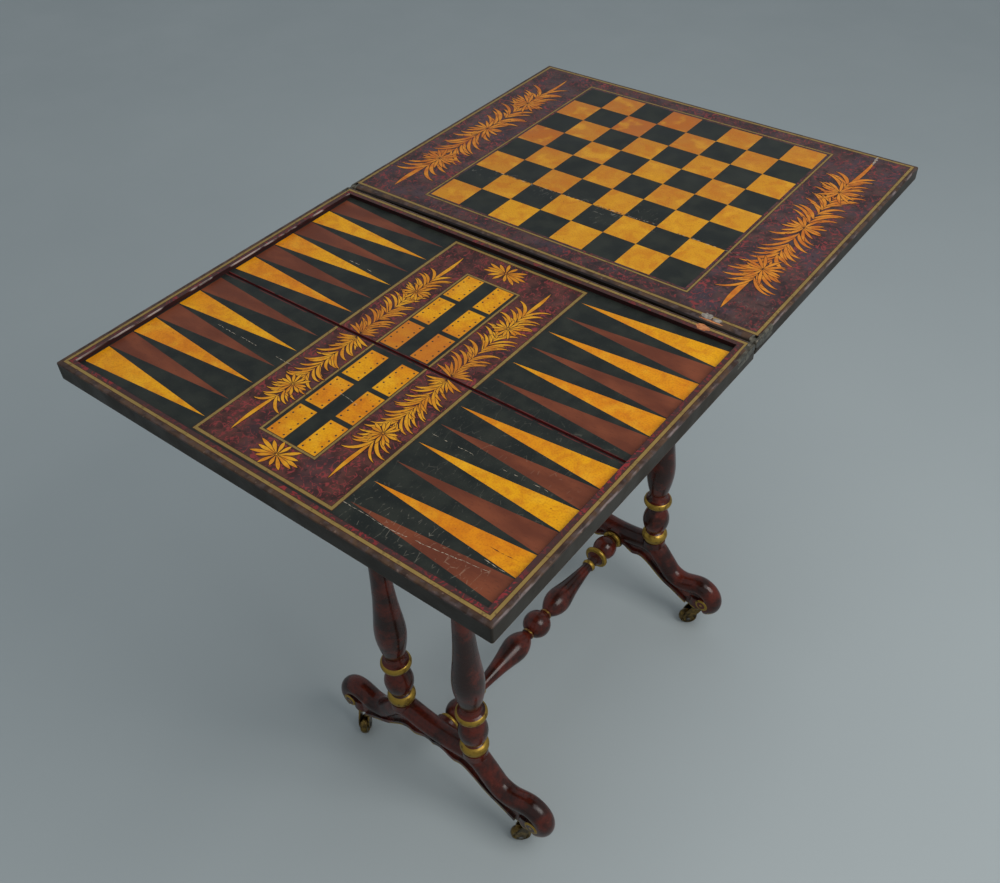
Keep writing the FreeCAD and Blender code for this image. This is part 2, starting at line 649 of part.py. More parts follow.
def well_panel(way):
    """One of the two painted panels of the well, on the hinge side or the outer side."""
    near = WELL_MID_Y + way * PANEL_GAP / 2
    far = WELL_Y1 if way > 0 else WELL_Y0
    panel = box(-WELL_X, WELL_X, min(near, far), max(near, far), PANEL_Z, WELL_Z)
    inlays = well_points(True).Solids + well_points(False).Solids + cribbage_blocks().Solids
    return panel.cut(Part.makeCompound(
        [s for s in inlays if (s.CenterOfMass.y - WELL_MID_Y) * way > 0]))


def upper_blank():
    return turned_over(leaf_blank(UPPER_T))


def upper_tongue(side, grow=0.0):
    x0 = side * (LEAF_X - CLAMP_W)
    x1 = x0 + side * TONGUE * 2
    return box(min(x0, x1), max(x0, x1), 20, LEAF_D - 20, UPPER_UNDER_Z + 5, UPPER_UNDER_Z + 9)


def upper_board():
    """Chess leaf: the middle board, tongued into its two clamps, with a bed for the squares."""
    half = LEAF_X - CLAMP_W
    board = upper_blank().common(box(-half, half, -1, LEAF_D + 1, 0, TABLE_H + 1))
    board = board.fuse([upper_tongue(1), upper_tongue(-1)])
    bed = box(CHESS_X, CHESS_X + 8 * SQUARE, CHESS_Y, CHESS_Y + 8 * SQUARE,
              TABLE_H - INLAY_T, TABLE_H + 1)
    return board.cut(bed)


def upper_clamp(side):
    x0, x1 = sorted((side * (LEAF_X - CLAMP_W), side * (LEAF_X + 1)))
    clamp = upper_blank().common(box(x0, x1, -1, LEAF_D + 1, 0, TABLE_H + 1))
    recess = turned_over(hinge_recess(side))
    return clamp.cut(upper_tongue(side)).cut(recess)


def squares(parity):
    """The chess squares of one colour, as veneers in their bed."""
    tiles = []
    for i in range(8):
        for j in range(8):
            if ((i + j) % 2 == 0) == parity:
                x, y = CHESS_X + i * SQUARE, CHESS_Y + j * SQUARE
                tiles.append(box(x, x + SQUARE, y, y + SQUARE, TABLE_H - INLAY_T, TABLE_H))
    return joined(tiles)


# ---- card-table hinges --------------------------------------------------------------------------
PIN_Z = TABLE_H - HINGE_A
PIN_R = 1.6
KNUCKLE_LENGTH = 8.0         # in from the end of the leaf
CHEEK_T = 2.4
PLATE_LENGTH = 33.0
PLATE_H = 10.0
WEB_Y = 9.8                  # where the cheeks join, from the hinge line
LUG_END = 14.0
HINGE_SCREWS = (19.5, 27.5)


def end_x(side, depth):
    """X of a plane that lies a depth in from one end of the leaves."""
    return side * (LEAF_X - depth)


def knuckle_profile():
    """Cheek of a plate on the -Y leaf: round about the pin, then straight along the leaf."""
    return outline((-HINGE_B, TABLE_H), [
        ("arc", (-HINGE_B + HINGE_A * math.sqrt(0.5), PIN_Z + HINGE_A * math.sqrt(0.5)),
         (-HINGE_B + HINGE_A, PIN_Z)),
        ("arc", (-HINGE_B + HINGE_A * math.sqrt(0.5), PIN_Z - HINGE_A * math.sqrt(0.5)),
         (-HINGE_B, PIN_Z - HINGE_A)),
        ("line", (-WEB_Y, PIN_Z - HINGE_A)), ("line", (-LUG_END, TABLE_H - PLATE_H)),
        ("line", (-PLATE_LENGTH, TABLE_H - PLATE_H)), ("line", (-PLATE_LENGTH, TABLE_H)),
        ("line", (-HINGE_B, TABLE_H))], lambda y, z: Vector(0, y, z))


def slab_between(wire, x0, x1):
    body = Part.Face(wire).extrude(Vector(abs(x1 - x0), 0, 0))
    body.translate(Vector(min(x0, x1), 0, 0))
    return body


def hinge_plate(side):
    """Plate in the end of the -Y leaf: an outer cheek, an inner lug and the web between them."""
    outer = slab_between(knuckle_profile(), end_x(side, 0), end_x(side, CHEEK_T))
    x0, x1 = sorted((end_x(side, 0), end_x(side, KNUCKLE_LENGTH)))
    lug = slab_between(knuckle_profile(), end_x(side, KNUCKLE_LENGTH - CHEEK_T),
                       end_x(side, KNUCKLE_LENGTH))
    lug = lug.common(box(x0, x1, -LUG_END, 0, PIN_Z - HINGE_A, TABLE_H))
    web = box(x0, x1, -LUG_END, -WEB_Y, PIN_Z - HINGE_A, TABLE_H)
    plate = outer.fuse([lug, web]).removeSplitter()
    plate = plate.cut(rod(PIN_R, (x0 - 1, -HINGE_B, PIN_Z), (x1 + 1, -HINGE_B, PIN_Z)))
    for y in HINGE_SCREWS:
        plate = plate.cut(Part.makeCone(2.4, 1.1, CHEEK_T, Vector(end_x(side, 0), -y, screw_z()),
                                        Vector(-side, 0, 0)))
    return plate.common(leaf_blank(LOWER_T))


def screw_z():
    return TABLE_H - PLATE_H / 2


def hinge_recess(side):
    """What the lower leaf's end gives up to a plate, with room for the link to swing."""
    x0, x1 = sorted((end_x(side, -1), end_x(side, KNUCKLE_LENGTH + 0.3)))
    knuckle = box(x0, x1, -LUG_END, 1, PIN_Z - HINGE_A - 0.4, TABLE_H + 1)
    x0, x1 = sorted((end_x(side, -1), end_x(side, CHEEK_T)))
    plate = box(x0, x1, -PLATE_LENGTH, -LUG_END + 0.01, TABLE_H - PLATE_H, TABLE_H + 1)
    wedge = prism([(x0, -WEB_Y, PIN_Z - HINGE_A), (x0, -LUG_END, TABLE_H - PLATE_H),
                   (x0, -LUG_END, PIN_Z)], (x1 - x0, 0, 0))
    holes = [rod(1.1, (end_x(side, 0), -y, screw_z()), (end_x(side, CHEEK_T + 9), -y, screw_z()))
             for y in HINGE_SCREWS]
    return knuckle.fuse([plate, wedge] + holes)


def hinge_screws():
    """Countersunk screws of the two plates on the -Y leaf, their slots showing."""
    screw = turned((0, 0), [("line", (2.4, 0)), ("line", (1.1, -CHEEK_T)),
                            ("line", (1.1, -CHEEK_T - 7)), ("line", (0, -CHEEK_T - 9))])
    screw = screw.cut(box(-0.3, 0.3, -3, 3, -0.6, 1))
    return joined([aimed(screw, (end_x(side, 0), -y, screw_z()), (side, 0, 0))
                   for side in (-1, 1) for y in HINGE_SCREWS])


def hinge_pins():
    return joined([rod(PIN_R, (end_x(side, 0), -HINGE_B, PIN_Z),
                       (end_x(side, KNUCKLE_LENGTH), -HINGE_B, PIN_Z)) for side in (-1, 1)])


def hinge_link(side):
    """Two-eyed link between the pins of the two leaves; it stands upright when they are folded."""
    reach = HINGE_A - 0.15
    wire = outline((-HINGE_B, PIN_Z + reach), [
        ("line", (HINGE_B, PIN_Z + reach)), ("arc", (HINGE_B + reach, PIN_Z),
                                             (HINGE_B, PIN_Z - reach)),
        ("line", (-HINGE_B, PIN_Z - reach)), ("arc", (-HINGE_B - reach, PIN_Z),
                                              (-HINGE_B, PIN_Z + reach))],
        lambda y, z: Vector(0, y, z))
    x0, x1 = end_x(side, CHEEK_T + 0.2), end_x(side, KNUCKLE_LENGTH - CHEEK_T - 0.2)
    link = slab_between(wire, x0, x1)
    for y in (-HINGE_B, HINGE_B):
        link = link.cut(rod(PIN_R + RUN_GAP, (min(x0, x1) - 1, y, PIN_Z),
                            (max(x0, x1) + 1, y, PIN_Z)))
    return link


# ---- assembly -----------------------------------------------------------------------------------
def nodes():
    parts = {}
    sledge, post, cross = foot(), column(), bearer()
    plates, screws = joined(caster_plates()), joined(caster_screws())
    ends = {"front": -1, "rear": 1}
    for end, sy in ends.items():
        parts[f"foot_{end}"] = at_end(sledge, sy)
        parts[f"bearer_{end}"] = at_end(cross, sy)
        for hand, sx in (("left", -1), ("right", 1)):
            parts[f"column_{end}_{hand}"] = post.translated(
                Vector(sx * COLUMN_X, sy * COLUMN_Y, 0))
    parts["caster_plates"] = joined([at_end(plates, sy) for sy in ends.values()])
    parts["caster_screws"] = joined([at_end(screws, sy) for sy in ends.values()])
    parts["stretcher"] = stretcher()
    for hand, sx in (("left", -1), ("right", 1)):
        parts[f"rail_{hand}"] = rail(sx)
    parts["pivot_board"] = pivot_board()
    parts["pivot_bush"] = pivot_bush()
    parts["stop_pin"] = stop_pin()
    parts["baize_strips"] = baize_strips()

    for name in CASTERS:
        parts[f"caster_fork_{name}"] = at_caster(caster_fork(), name)
        parts[f"caster_axle_{name}"] = at_caster(caster_axle(), name)
        parts[f"caster_wheel_{name}"] = at_caster(caster_wheel(), name)

    parts.update(rims())
    parts["lower_leaf_board"] = lower_board()
    parts["well_panel_hinge"] = well_panel(1)
    parts["well_panel_outer"] = well_panel(-1)
    parts["points_amber"] = well_points(True)
    parts["points_brown"] = well_points(False)
    parts["cribbage_blocks"] = cribbage_blocks()
    parts["pivot_plate"] = pivot_plate()
    parts["pivot_plate_screws"] = pivot_plate_screws()
    parts["pivot_washer"] = pivot_washer()
    parts["pivot_nut"] = pivot_nut()

    parts["upper_leaf_board"] = upper_board()
    parts["squares_light"] = squares(True)
    parts["squares_dark"] = squares(False)
    for hand, side in (("left", -1), ("right", 1)):
        parts[f"upper_clamp_{hand}"] = upper_clamp(side)
        parts[f"hinge_plate_lower_{hand}"] = hinge_plate(side)
        parts[f"hinge_plate_upper_{hand}"] = turned_over(hinge_plate(side))
        parts[f"hinge_link_{hand}"] = hinge_link(side)
    parts["hinge_screws_lower"] = hinge_screws()
    parts["hinge_screws_upper"] = turned_over(hinge_screws())
    parts["hinge_pins_lower"] = hinge_pins()
    parts["hinge_pins_upper"] = turned_over(hinge_pins())
    return parts


os.makedirs("parts", exist_ok=True)
for node, shape in nodes().items():
    for solid in shape.Solids:
        if not solid.isValid():
            raise ValueError(f"{node} holds an unsound solid")
    shape.exportStep(f"parts/{node}.step")
    print(node, len(shape.Solids), round(shape.Volume / 1000, 2), "cm3")
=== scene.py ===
"""Looks of the folding games table: japanned leaves with penwork, and a lacquered, gilded stand.

Lengths are in metres. The frame's own axes are used throughout: +X along the hinge line, +Y along
the stretcher towards the chess leaf, +Z up. Places on the leaves are worked out in squares of the
chess board, counted from its corner at the hinge and the left end.
"""
import math
import random

import bpy
from mathutils import Matrix, Vector, noise


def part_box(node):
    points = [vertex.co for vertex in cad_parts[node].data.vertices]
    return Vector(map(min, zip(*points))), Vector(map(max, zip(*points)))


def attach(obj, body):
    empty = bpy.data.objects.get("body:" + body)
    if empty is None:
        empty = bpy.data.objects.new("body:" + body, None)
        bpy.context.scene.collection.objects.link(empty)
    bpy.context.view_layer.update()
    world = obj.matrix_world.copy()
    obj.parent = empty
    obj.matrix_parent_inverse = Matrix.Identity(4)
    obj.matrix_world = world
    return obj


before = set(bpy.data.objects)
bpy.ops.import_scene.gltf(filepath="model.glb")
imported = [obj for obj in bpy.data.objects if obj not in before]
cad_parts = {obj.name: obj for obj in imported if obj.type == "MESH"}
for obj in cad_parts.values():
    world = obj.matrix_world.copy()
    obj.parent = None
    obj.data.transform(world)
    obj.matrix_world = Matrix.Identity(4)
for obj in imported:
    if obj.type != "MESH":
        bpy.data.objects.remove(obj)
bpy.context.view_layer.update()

# ---- places worked out from the frame -----------------------------------------------------------
MM = 0.001
BOARD_LOW = Vector(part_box("squares_light")[0])
BOARD_HIGH = Vector(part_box("squares_light")[1])
SQUARE = (BOARD_HIGH.x - BOARD_LOW.x) / 8
TOP_Z = BOARD_HIGH.z
WELL_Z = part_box("well_panel_outer")[1][2]
LEAF_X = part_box("rim_right")[1][0]
LEAF_Y = -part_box("rim_outer")[0][1]
LOWER_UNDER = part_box("lower_leaf_board")[0][2]
UPPER_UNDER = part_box("upper_leaf_board")[0][2]
WELL_LOW = Vector(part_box("well_panel_outer")[0])
WELL_HIGH = Vector(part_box("well_panel_hinge")[1])
GROOVE = (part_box("well_panel_outer")[1][1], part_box("well_panel_hinge")[0][1])
RIM = WELL_LOW.x + LEAF_X            # width of the lippings
FOOT_Y = (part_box("foot_rear")[0][1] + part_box("foot_rear")[1][1]) / 2


def at(u, v):
    """A place on the leaves in squares, as (x, y)."""
    return Vector((BOARD_LOW.x + u * SQUARE, BOARD_LOW.y + v * SQUARE))


# Corners of the painted panels of the well in squares, and of the gilt lines in metres.
PANEL_LOW, PANEL_HIGH = (2.03, -10.13), (6.07, -1.39)       # tortoiseshell
SCORE_LOW, SCORE_HIGH = (3.20, -9.33), (4.80, -2.38)        # black ground of the scoring blocks
CHESS_LINE_LOW = Vector((-LEAF_X + 5.4 * MM, at(0, -0.66)[1]))
CHESS_LINE_HIGH = Vector((LEAF_X - 5.4 * MM, LEAF_Y - 4.8 * MM))
RIM_LINE_LOW = Vector((-LEAF_X + 6.0 * MM, -LEAF_Y + 6.8 * MM))
RIM_LINE_HIGH = Vector((LEAF_X - 6.2 * MM, -6.6 * MM))
# How far the painted shade along the hinge edge reaches in from the hinge line, from the middle of
# the leaf to past its end: a dark band that stands in for the shade of the rounded hinge arris.
HINGE_SHADE = ((0, 5.0 * MM), (120 * MM, 4.4 * MM), (200 * MM, 2.6 * MM),
              (LEAF_X + 10 * MM, 1.0 * MM))
# The scoring blocks as painted: their width, depth and pitch, and how far off the let-in ones they
# are on the hinge panel and on the outer panel.
BLOCK_WIDE, BLOCK_DEEP, BLOCK_PITCH = 20.4 * MM, 40 * MM, 45.5 * MM
BLOCK_SLIPS = ((-1.3 * MM, -2.4 * MM), (1.2 * MM, -2.8 * MM))


def painted_blocks():
    """Corners of the scoring blocks as they are painted, a little off the let-in ones."""
    low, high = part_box("cribbage_blocks")
    for start, way, slip in zip((high[1] - BLOCK_DEEP, low[1]), (-1, 1), BLOCK_SLIPS):
        for k in range(3):
            y = start + way * k * BLOCK_PITCH + slip[1]
            for x in (low[0] + slip[0], high[0] - BLOCK_WIDE + slip[0]):
                yield (x, y), (x + BLOCK_WIDE, y + BLOCK_DEEP)


# ---- colours, as they are seen ------------------------------------------------------------------
def tone(red, green, blue):
    """An sRGB colour from 0 to 255 as Blender's linear one."""
    linear = [c / 12.92 if c <= 0.04045 else ((c + 0.055) / 1.055) ** 2.4
              for c in (red / 255, green / 255, blue / 255)]
    return (*linear, 1.0)


# Specular levels of the old lacquer on the leaves and of that on the stand.
GLOSS, STAND_GLOSS = 0.18, 0.32
# Stretch of a noise that makes grain along X or along Y.
ALONG_X, ALONG_Y = (0.06, 1, 1), (1, 0.06, 1)


# ---- procedural materials -----------------------------------------------------------------------
class Paint:
    """A procedural material in object coordinates, which are the frame's, in metres."""

    def __init__(self, name):
        self.material = bpy.data.materials.new(name)
        self.material.use_nodes = True
        self.tree = self.material.node_tree
        self.surface = self.tree.nodes["Principled BSDF"]
        self.place = self.node("ShaderNodeTexCoord").outputs["Object"]
        self.x, self.y, self.z = self.node("ShaderNodeSeparateXYZ", {0: self.place}).outputs

    def node(self, kind, inputs=None, **settings):
        """A new node with its settings, its inputs fed from sockets or set to values."""
        made = self.tree.nodes.new(kind)
        for key, value in settings.items():
            setattr(made, key, value)
        for key, value in (inputs or {}).items():
            self.feed(made.inputs[key], value)
        return made

    def feed(self, socket, value):
        if isinstance(value, bpy.types.NodeSocket):
            self.tree.links.new(value, socket)
        else:
            socket.default_value = value

    def math(self, operation, a, b=0.0):
        """The result of one operation of the Math node."""
        return self.node("ShaderNodeMath", {0: a, 1: b}, operation=operation).outputs[0]

    def times(self, *values):
        result = values[0]
        for value in values[1:]:
            result = self.math("MULTIPLY", result, value)
        return result

    def most(self, *values):
        result = values[0]
        for value in values[1:]:
            result = self.math("MAXIMUM", result, value)
        return result

    def ramp(self, value, start, end, low=0.0, high=1.0):
        """A smooth step from low at start to high at end."""
        return self.node("ShaderNodeMapRange",
                         {0: value, 1: start, 2: end, 3: low, 4: high},
                         interpolation_type="SMOOTHSTEP").outputs[0]

    def blotches(self, size, start, end, low=0.0, high=1.0, **kind):
        """Noise with a smooth step from low at start to high at end."""
        return self.ramp(self.noise(size, **kind), start, end, low, high)

    def uneven(self, size, low, high, **kind):
        """A value that wanders between low and high."""
        return self.blotches(size, 0.3, 0.7, low, high, **kind)

    def noise(self, size, detail=3.0, rough=0.5, warp=0.0, stretch=(1, 1, 1), shift=0.0):
        """Noise from 0 to 1 in blotches about size across, longer where stretch is under 1."""
        place = self.node("ShaderNodeVectorMath", {0: self.place, 1: stretch},
                          operation="MULTIPLY").outputs[0]
        place = self.node("ShaderNodeVectorMath", {0: place, 1: (shift, shift, shift)},
                          operation="ADD").outputs[0]
        return self.node("ShaderNodeTexNoise", {"Vector": place, "Scale": 1 / size,
                                                "Detail": detail, "Roughness": rough,
                                                "Distortion": warp}).outputs[0]

    def cells(self, size, feature="F1", stretch=(1, 1, 1)):
        """Distance from the middle or the edge of cells that are about size across."""
        place = self.node("ShaderNodeVectorMath", {0: self.place, 1: stretch},
                          operation="MULTIPLY").outputs[0]
        return self.node("ShaderNodeTexVoronoi", {"Vector": place, "Scale": 1 / size},
                         feature=feature).outputs["Distance"]

    def mix(self, factor, a, b):
        """Colour a where the factor is 0 and b where it is 1, as sockets or as sRGB triples."""
        a, b = (tone(*colour) if isinstance(colour, tuple) else colour for colour in (a, b))
        return self.node("ShaderNodeMix", {0: factor, 6: a, 7: b}, data_type="RGBA").outputs[2]

    def band(self, value, low, high, soft=0.3 * MM):
        """1 between low and high, with soft edges."""
        return self.times(self.ramp(value, low - soft, low + soft),
                          self.ramp(value, high + soft, high - soft))

    def patch(self, low, high, soft=0.3 * MM):
        """1 over a rectangle seen from above."""
        return self.times(self.band(self.x, low[0], high[0], soft),
                          self.band(self.y, low[1], high[1], soft))

    def curve(self, value, points):
        """A smooth curve through points, from a value of 0 to that of the last point."""
        reach = points[-1][0]
        made = self.node("ShaderNodeFloatCurve", {1: self.math("DIVIDE", value, reach)})
        line = made.mapping.curves[0].points
        for _ in points[2:]:
            line.new(0.5, 0.5)
        for spot, (x, z) in zip(line, points):
            spot.location = (x / reach, z / reach)
        made.mapping.update()
        return self.math("MULTIPLY", made.outputs[0], reach)

    def bump(self, height, distance, strength=1.0):
        """A normal for a height of 0 to 1 that stands for a distance."""
        return self.node("ShaderNodeBump", {"Height": height, "Distance": distance,
                                            "Strength": strength}).outputs[0]

    def finish(self, colour, roughness, normal=None, **others):
        """Feeds the shader and returns the material."""
        self.feed(self.surface.inputs["Base Color"], colour)
        self.feed(self.surface.inputs["Roughness"], roughness)
        if normal is not None:
            self.feed(self.surface.inputs["Normal"], normal)
        names = {"metallic": "Metallic", "specular": "Specular IOR Level", "sheen": "Sheen Weight"}
        for key, value in others.items():
            self.feed(self.surface.inputs[names[key]], value)
        return self.material


# ---- grounds that several materials share -------------------------------------------------------
def tortoise(p, dark=(48, 35, 36), brown=(74, 52, 50), cool=0.6, least_red=0.4):
    """Imitation tortoiseshell: broken red squiggles over brown that is nearly black."""
    body = p.mix(p.blotches(0.016, 0.36, 0.64, detail=4.0), dark, brown)
    violet = p.blotches(0.03, 0.48, 0.68, shift=13.0)
    body = p.mix(p.times(violet, cool), body, (64, 53, 62))
    amount = p.blotches(0.06, 0.34, 0.58, least_red, 1.0, detail=2.0)
    red = p.mix(p.noise(0.02, shift=7.0), (106, 38, 40), (136, 58, 58))
    for size, shift in ((0.016, 0.0), (0.010, 21.0)):
        body = p.mix(p.times(squiggles(p, size, shift), amount), body, red)
    pits = p.blotches(0.005, 0.60, 0.68, detail=2.0, shift=11.0)
    return p.mix(p.times(pits, 0.6), body, (34, 26, 26))


def squiggles(p, size, shift):
    """Wandering broken lines, as the contours of a noise."""
    contour = p.math("SUBTRACT", p.noise(size, detail=1.5, warp=1.4, shift=shift), 0.5)
    line = p.ramp(p.math("ABSOLUTE", contour), 0.034, 0.009)
    return p.times(line, p.blotches(size * 0.45, 0.44, 0.56, detail=1.0, shift=shift + 3))


def edge_lacquer(p):
    """Dark brown lacquer of the leaf edges, with darker blotches."""
    brown = p.mix(p.noise(0.03, detail=4.0, stretch=(0.3, 0.3, 1)), (26, 21, 16), (45, 38, 28))
    return p.mix(p.blotches(0.006, 0.6, 0.75), brown, (22, 18, 16))


def border_lacquer(p):
    """Mottled brown between a leaf's gilt line and its edge, rubbed pale along the side arris."""
    brown = p.mix(p.blotches(0.012, 0.36, 0.64, detail=5.0), (48, 35, 29), (76, 56, 42))
    grey = p.blotches(0.008, 0.46, 0.64, detail=4.0, shift=2.0)
    brown = p.mix(p.times(grey, 0.55), brown, (78, 68, 68))
    nicks = p.blotches(0.004, 0.63, 0.72, detail=4.0, shift=5.0)
    brown = p.mix(p.times(nicks, 0.5), brown, (128, 106, 94))
    streaks = p.blotches(0.006, 0.48, 0.62, detail=4.0, stretch=(1, 0.25, 1), shift=8.0)
    arris = p.ramp(p.math("ABSOLUTE", p.x), LEAF_X - 2.0 * MM, LEAF_X - 0.9 * MM)
    return p.mix(p.times(streaks, arris, 0.55), brown, (134, 122, 122))


def stained_wood(p, grain=ALONG_X, dark=(60, 38, 28), light=(92, 62, 44)):
    """Stained beech with its grain along one axis."""
    lines = p.noise(0.004, detail=5.0, rough=0.65, stretch=grain)
    flame = p.noise(0.03, detail=2.0, stretch=grain, shift=5.0)
    colour = p.mix(p.ramp(lines, 0.3, 0.7), dark, light)
    return p.mix(p.ramp(flame, 0.45, 0.75, 0.0, 0.4), colour, (48, 30, 24))


def crazing(p):
    """Fine cracks of old lacquer, as a height that is 0 in a crack."""
    return p.ramp(p.cells(0.018, "DISTANCE_TO_EDGE"), 0.0, 0.03)


def scratches(p, low, high, amount):
    """Short pale scratches inside a rectangle."""
    strokes = p.cells(0.006, "DISTANCE_TO_EDGE", stretch=(1, 0.35, 1))
    lines = p.ramp(strokes, 0.04, 0.0)
    chosen = p.blotches(0.006, 0.52, 0.62, detail=2.0, shift=9.0)
    return p.times(lines, chosen, p.patch(low, high, 4 * MM), amount)


def lacquer_finish(p, colour, grain, depth, size, smooth, rough):
    """Old lacquer: a fine grain in relief, and a gloss that varies in blotches of a size."""
    relief = p.bump(p.noise(grain, detail=5.0), depth, 0.6)
    return p.finish(colour, p.uneven(size, smooth, rough, detail=4.0), relief, specular=GLOSS)


def gilt_look(p):
    """Colour of worn gilding on the stand."""
    wear = p.blotches(0.006, 0.52, 0.70, detail=5.0)
    tint = p.mix(p.noise(0.02), (138, 110, 42), (170, 138, 58))
    return p.mix(p.times(wear, 0.7), tint, (74, 52, 28))


# ---- materials of the top -----------------------------------------------------------------------
def leaf_zones(p, under_z, face_colour, under_colour):
    """Colour of a leaf's face, edges and underside by height, and 1 over the underside."""
    edge = edge_lacquer(p)
    on_face = p.ramp(p.z, TOP_Z - 2.4 * MM, TOP_Z - 0.9 * MM)
    colour = p.mix(on_face, edge, face_colour)
    under = p.ramp(p.z, under_z + 0.5 * MM, under_z + 0.2 * MM)
    return p.mix(under, colour, under_colour), under


def chess_ground():
    """Tortoiseshell round the board, painted shade along the hinge line, and polished wood beneath.
    """
    p = Paint("chess_ground")
    worn = scratches(p, at(8.4, -0.6), at(10.2, 0.6), 0.35)
    inside = p.mix(worn, tortoise(p), (140, 118, 104))
    face = p.mix(p.patch(CHESS_LINE_LOW, CHESS_LINE_HIGH), border_lacquer(p), inside)
    # Painted shade: a nearly black band along the hinge edge of the leaf, standing in for the shade
    # of its rounded arris at the hinge gap.
    grime_and_hinge_shade = p.curve(p.math("ABSOLUTE", p.x), HINGE_SHADE)
    face = p.mix(p.ramp(p.math("SUBTRACT", grime_and_hinge_shade, p.y), -0.4 * MM, 0.4 * MM), face, (22, 15, 13))
    closed_top = stained_wood(p, dark=(42, 24, 19), light=(72, 42, 31))
    colour, _ = leaf_zones(p, UPPER_UNDER, face, closed_top)
    fine = p.noise(0.0016, detail=4.0)
    relief = p.bump(p.times(crazing(p), fine), 0.12 * MM, 0.5)
    rough = p.uneven(0.05, 0.34, 0.50, detail=4.0)
    return p.finish(colour, rough, relief, specular=GLOSS)


def amber_squares():
    """Light squares, each of its own tone, browner towards the far left corner."""
    p = Paint("amber_squares")
    column = p.math("FLOOR", p.math("DIVIDE", p.math("SUBTRACT", p.x, BOARD_LOW.x), SQUARE))
    row = p.math("FLOOR", p.math("DIVIDE", p.math("SUBTRACT", p.y, BOARD_LOW.y), SQUARE))
    key = p.node("ShaderNodeCombineXYZ", {0: column, 1: row}).outputs[0]
    lot = p.node("ShaderNodeTexWhiteNoise", {0: key}, noise_dimensions="2D").outputs[0]
    far = p.ramp(p.math("SUBTRACT", p.y, p.times(p.x, 0.6)), 0.06, 0.42, 0.0, 0.75)
    orange = p.math("ADD", p.times(lot, 0.4), far)
    body = p.mix(orange, (206, 146, 18), (164, 92, 32))
    return amber_finish(p, amber_detail(p, body))


def inlay_amber(p):
    """Colour of the points and scoring blocks, its tone changing from piece to piece."""
    lot = p.noise(0.045, detail=1.0, stretch=(0.4, 1, 1), shift=1.0)
    body = p.mix(p.ramp(lot, 0.35, 0.65), (214, 150, 8), (206, 126, 12))
    return amber_detail(p, body)


def block_amber(p):
    """Colour of the scoring blocks, browner beside the groove."""
    return p.mix(p.times(browned(p), 0.6), inlay_amber(p), (168, 92, 32))


def browned(p):
    """1 where the varnish has turned brown, on the hinge side of the groove."""
    return p.times(p.ramp(p.y, GROOVE[1] + 62 * MM, GROOVE[1] + 34 * MM),
                   p.ramp(p.y, GROOVE[1] - 2 * MM, GROOVE[1]))


def amber_points():
    p = Paint("amber_points")
    return amber_finish(p, inlay_amber(p))


def block_paint(p):
    """1 over the painted scoring blocks."""
    return p.most(*(p.patch(*corners) for corners in painted_blocks()))


def amber_blocks():
    """The let-in scoring blocks, black where the painted ones leave them bare."""
    p = Paint("amber_blocks")
    return amber_finish(p, p.mix(block_paint(p), black_field(p), block_amber(p)))


def amber_detail(p, body):
    """Clouds, streaks and brown specks in amber lacquer."""
    cloud = p.blotches(0.016, 0.40, 0.66, detail=5.0, rough=0.62, warp=0.6)
    colour = p.mix(p.times(cloud, 0.5), body, (176, 92, 14))
    light = p.blotches(0.022, 0.5, 0.70, shift=4.0)
    colour = p.mix(p.times(light, 0.4), colour, (222, 166, 36))
    mottle = p.blotches(0.0016, 0.44, 0.70, shift=6.0)
    colour = p.mix(p.times(mottle, 0.30), colour, (140, 78, 14))
    specks = p.ramp(p.cells(0.0085), 0.11, 0.05)
    return p.mix(p.times(specks, p.blotches(0.02, 0.48, 0.58, shift=8.0), 0.6), colour,
                 (96, 46, 16))


def amber_finish(p, colour):
    return lacquer_finish(p, colour, 0.002, 0.10 * MM, 0.03, 0.32, 0.46)


def black_field(p):
    """Black lacquer, a little grey where it is dusty."""
    body = p.mix(p.blotches(0.02, 0.35, 0.7, detail=4.0), (25, 29, 27), (38, 41, 36))
    dust = p.blotches(0.0016, 0.60, 0.74)
    return p.mix(p.times(dust, 0.3), body, (66, 64, 58))


def black_finish(p, colour):
    return lacquer_finish(p, colour, 0.0022, 0.10 * MM, 0.04, 0.36, 0.52)


def black_squares():
    """Dark squares, scratched along the cracks of the board."""
    p = Paint("black_squares")
    worn = p.most(scratches(p, at(0.0, 1.60), at(5.6, 2.1), 0.55),
                  scratches(p, at(3.9, 1.2), at(6.1, 2.7), 0.3))
    colour = p.mix(worn, black_field(p), (140, 136, 126))
    return black_finish(p, colour)


def well_ground():
    """Black field of the well, with tortoiseshell round the scoring board and red in the groove."""
    p = Paint("well_ground")
    worn = p.most(scratches(p, at(6.2, -9.2), at(9.7, -5.0), 0.14),
                  scratches(p, at(6.2, -10.2), at(9.7, -9.2), 0.42))
    black = p.mix(worn, black_field(p), (140, 134, 120))
    panel = p.patch(at(*PANEL_LOW), at(*PANEL_HIGH))
    scoring = p.patch(at(*SCORE_LOW), at(*SCORE_HIGH))
    warm = tortoise(p, dark=(52, 30, 28), brown=(82, 47, 42), cool=0.25, least_red=0.8)
    shell = p.mix(scoring, warm, black)
    colour = p.mix(block_paint(p), p.mix(panel, black, shell), block_amber(p))
    wall = p.ramp(p.z, WELL_Z - 0.25 * MM, WELL_Z - 0.6 * MM)
    rubbed = p.times(p.band(p.y, GROOVE[0] - 1.0 * MM, GROOVE[1] + 1.0 * MM),
                     p.blotches(0.012, 0.36, 0.56, detail=4.0, shift=3.0))
    colour = p.mix(p.times(rubbed, 0.8), colour, (96, 38, 36))
    colour = p.mix(wall, colour, p.mix(p.noise(0.01), (128, 34, 34), (76, 26, 26)))
    return black_finish(p, colour)


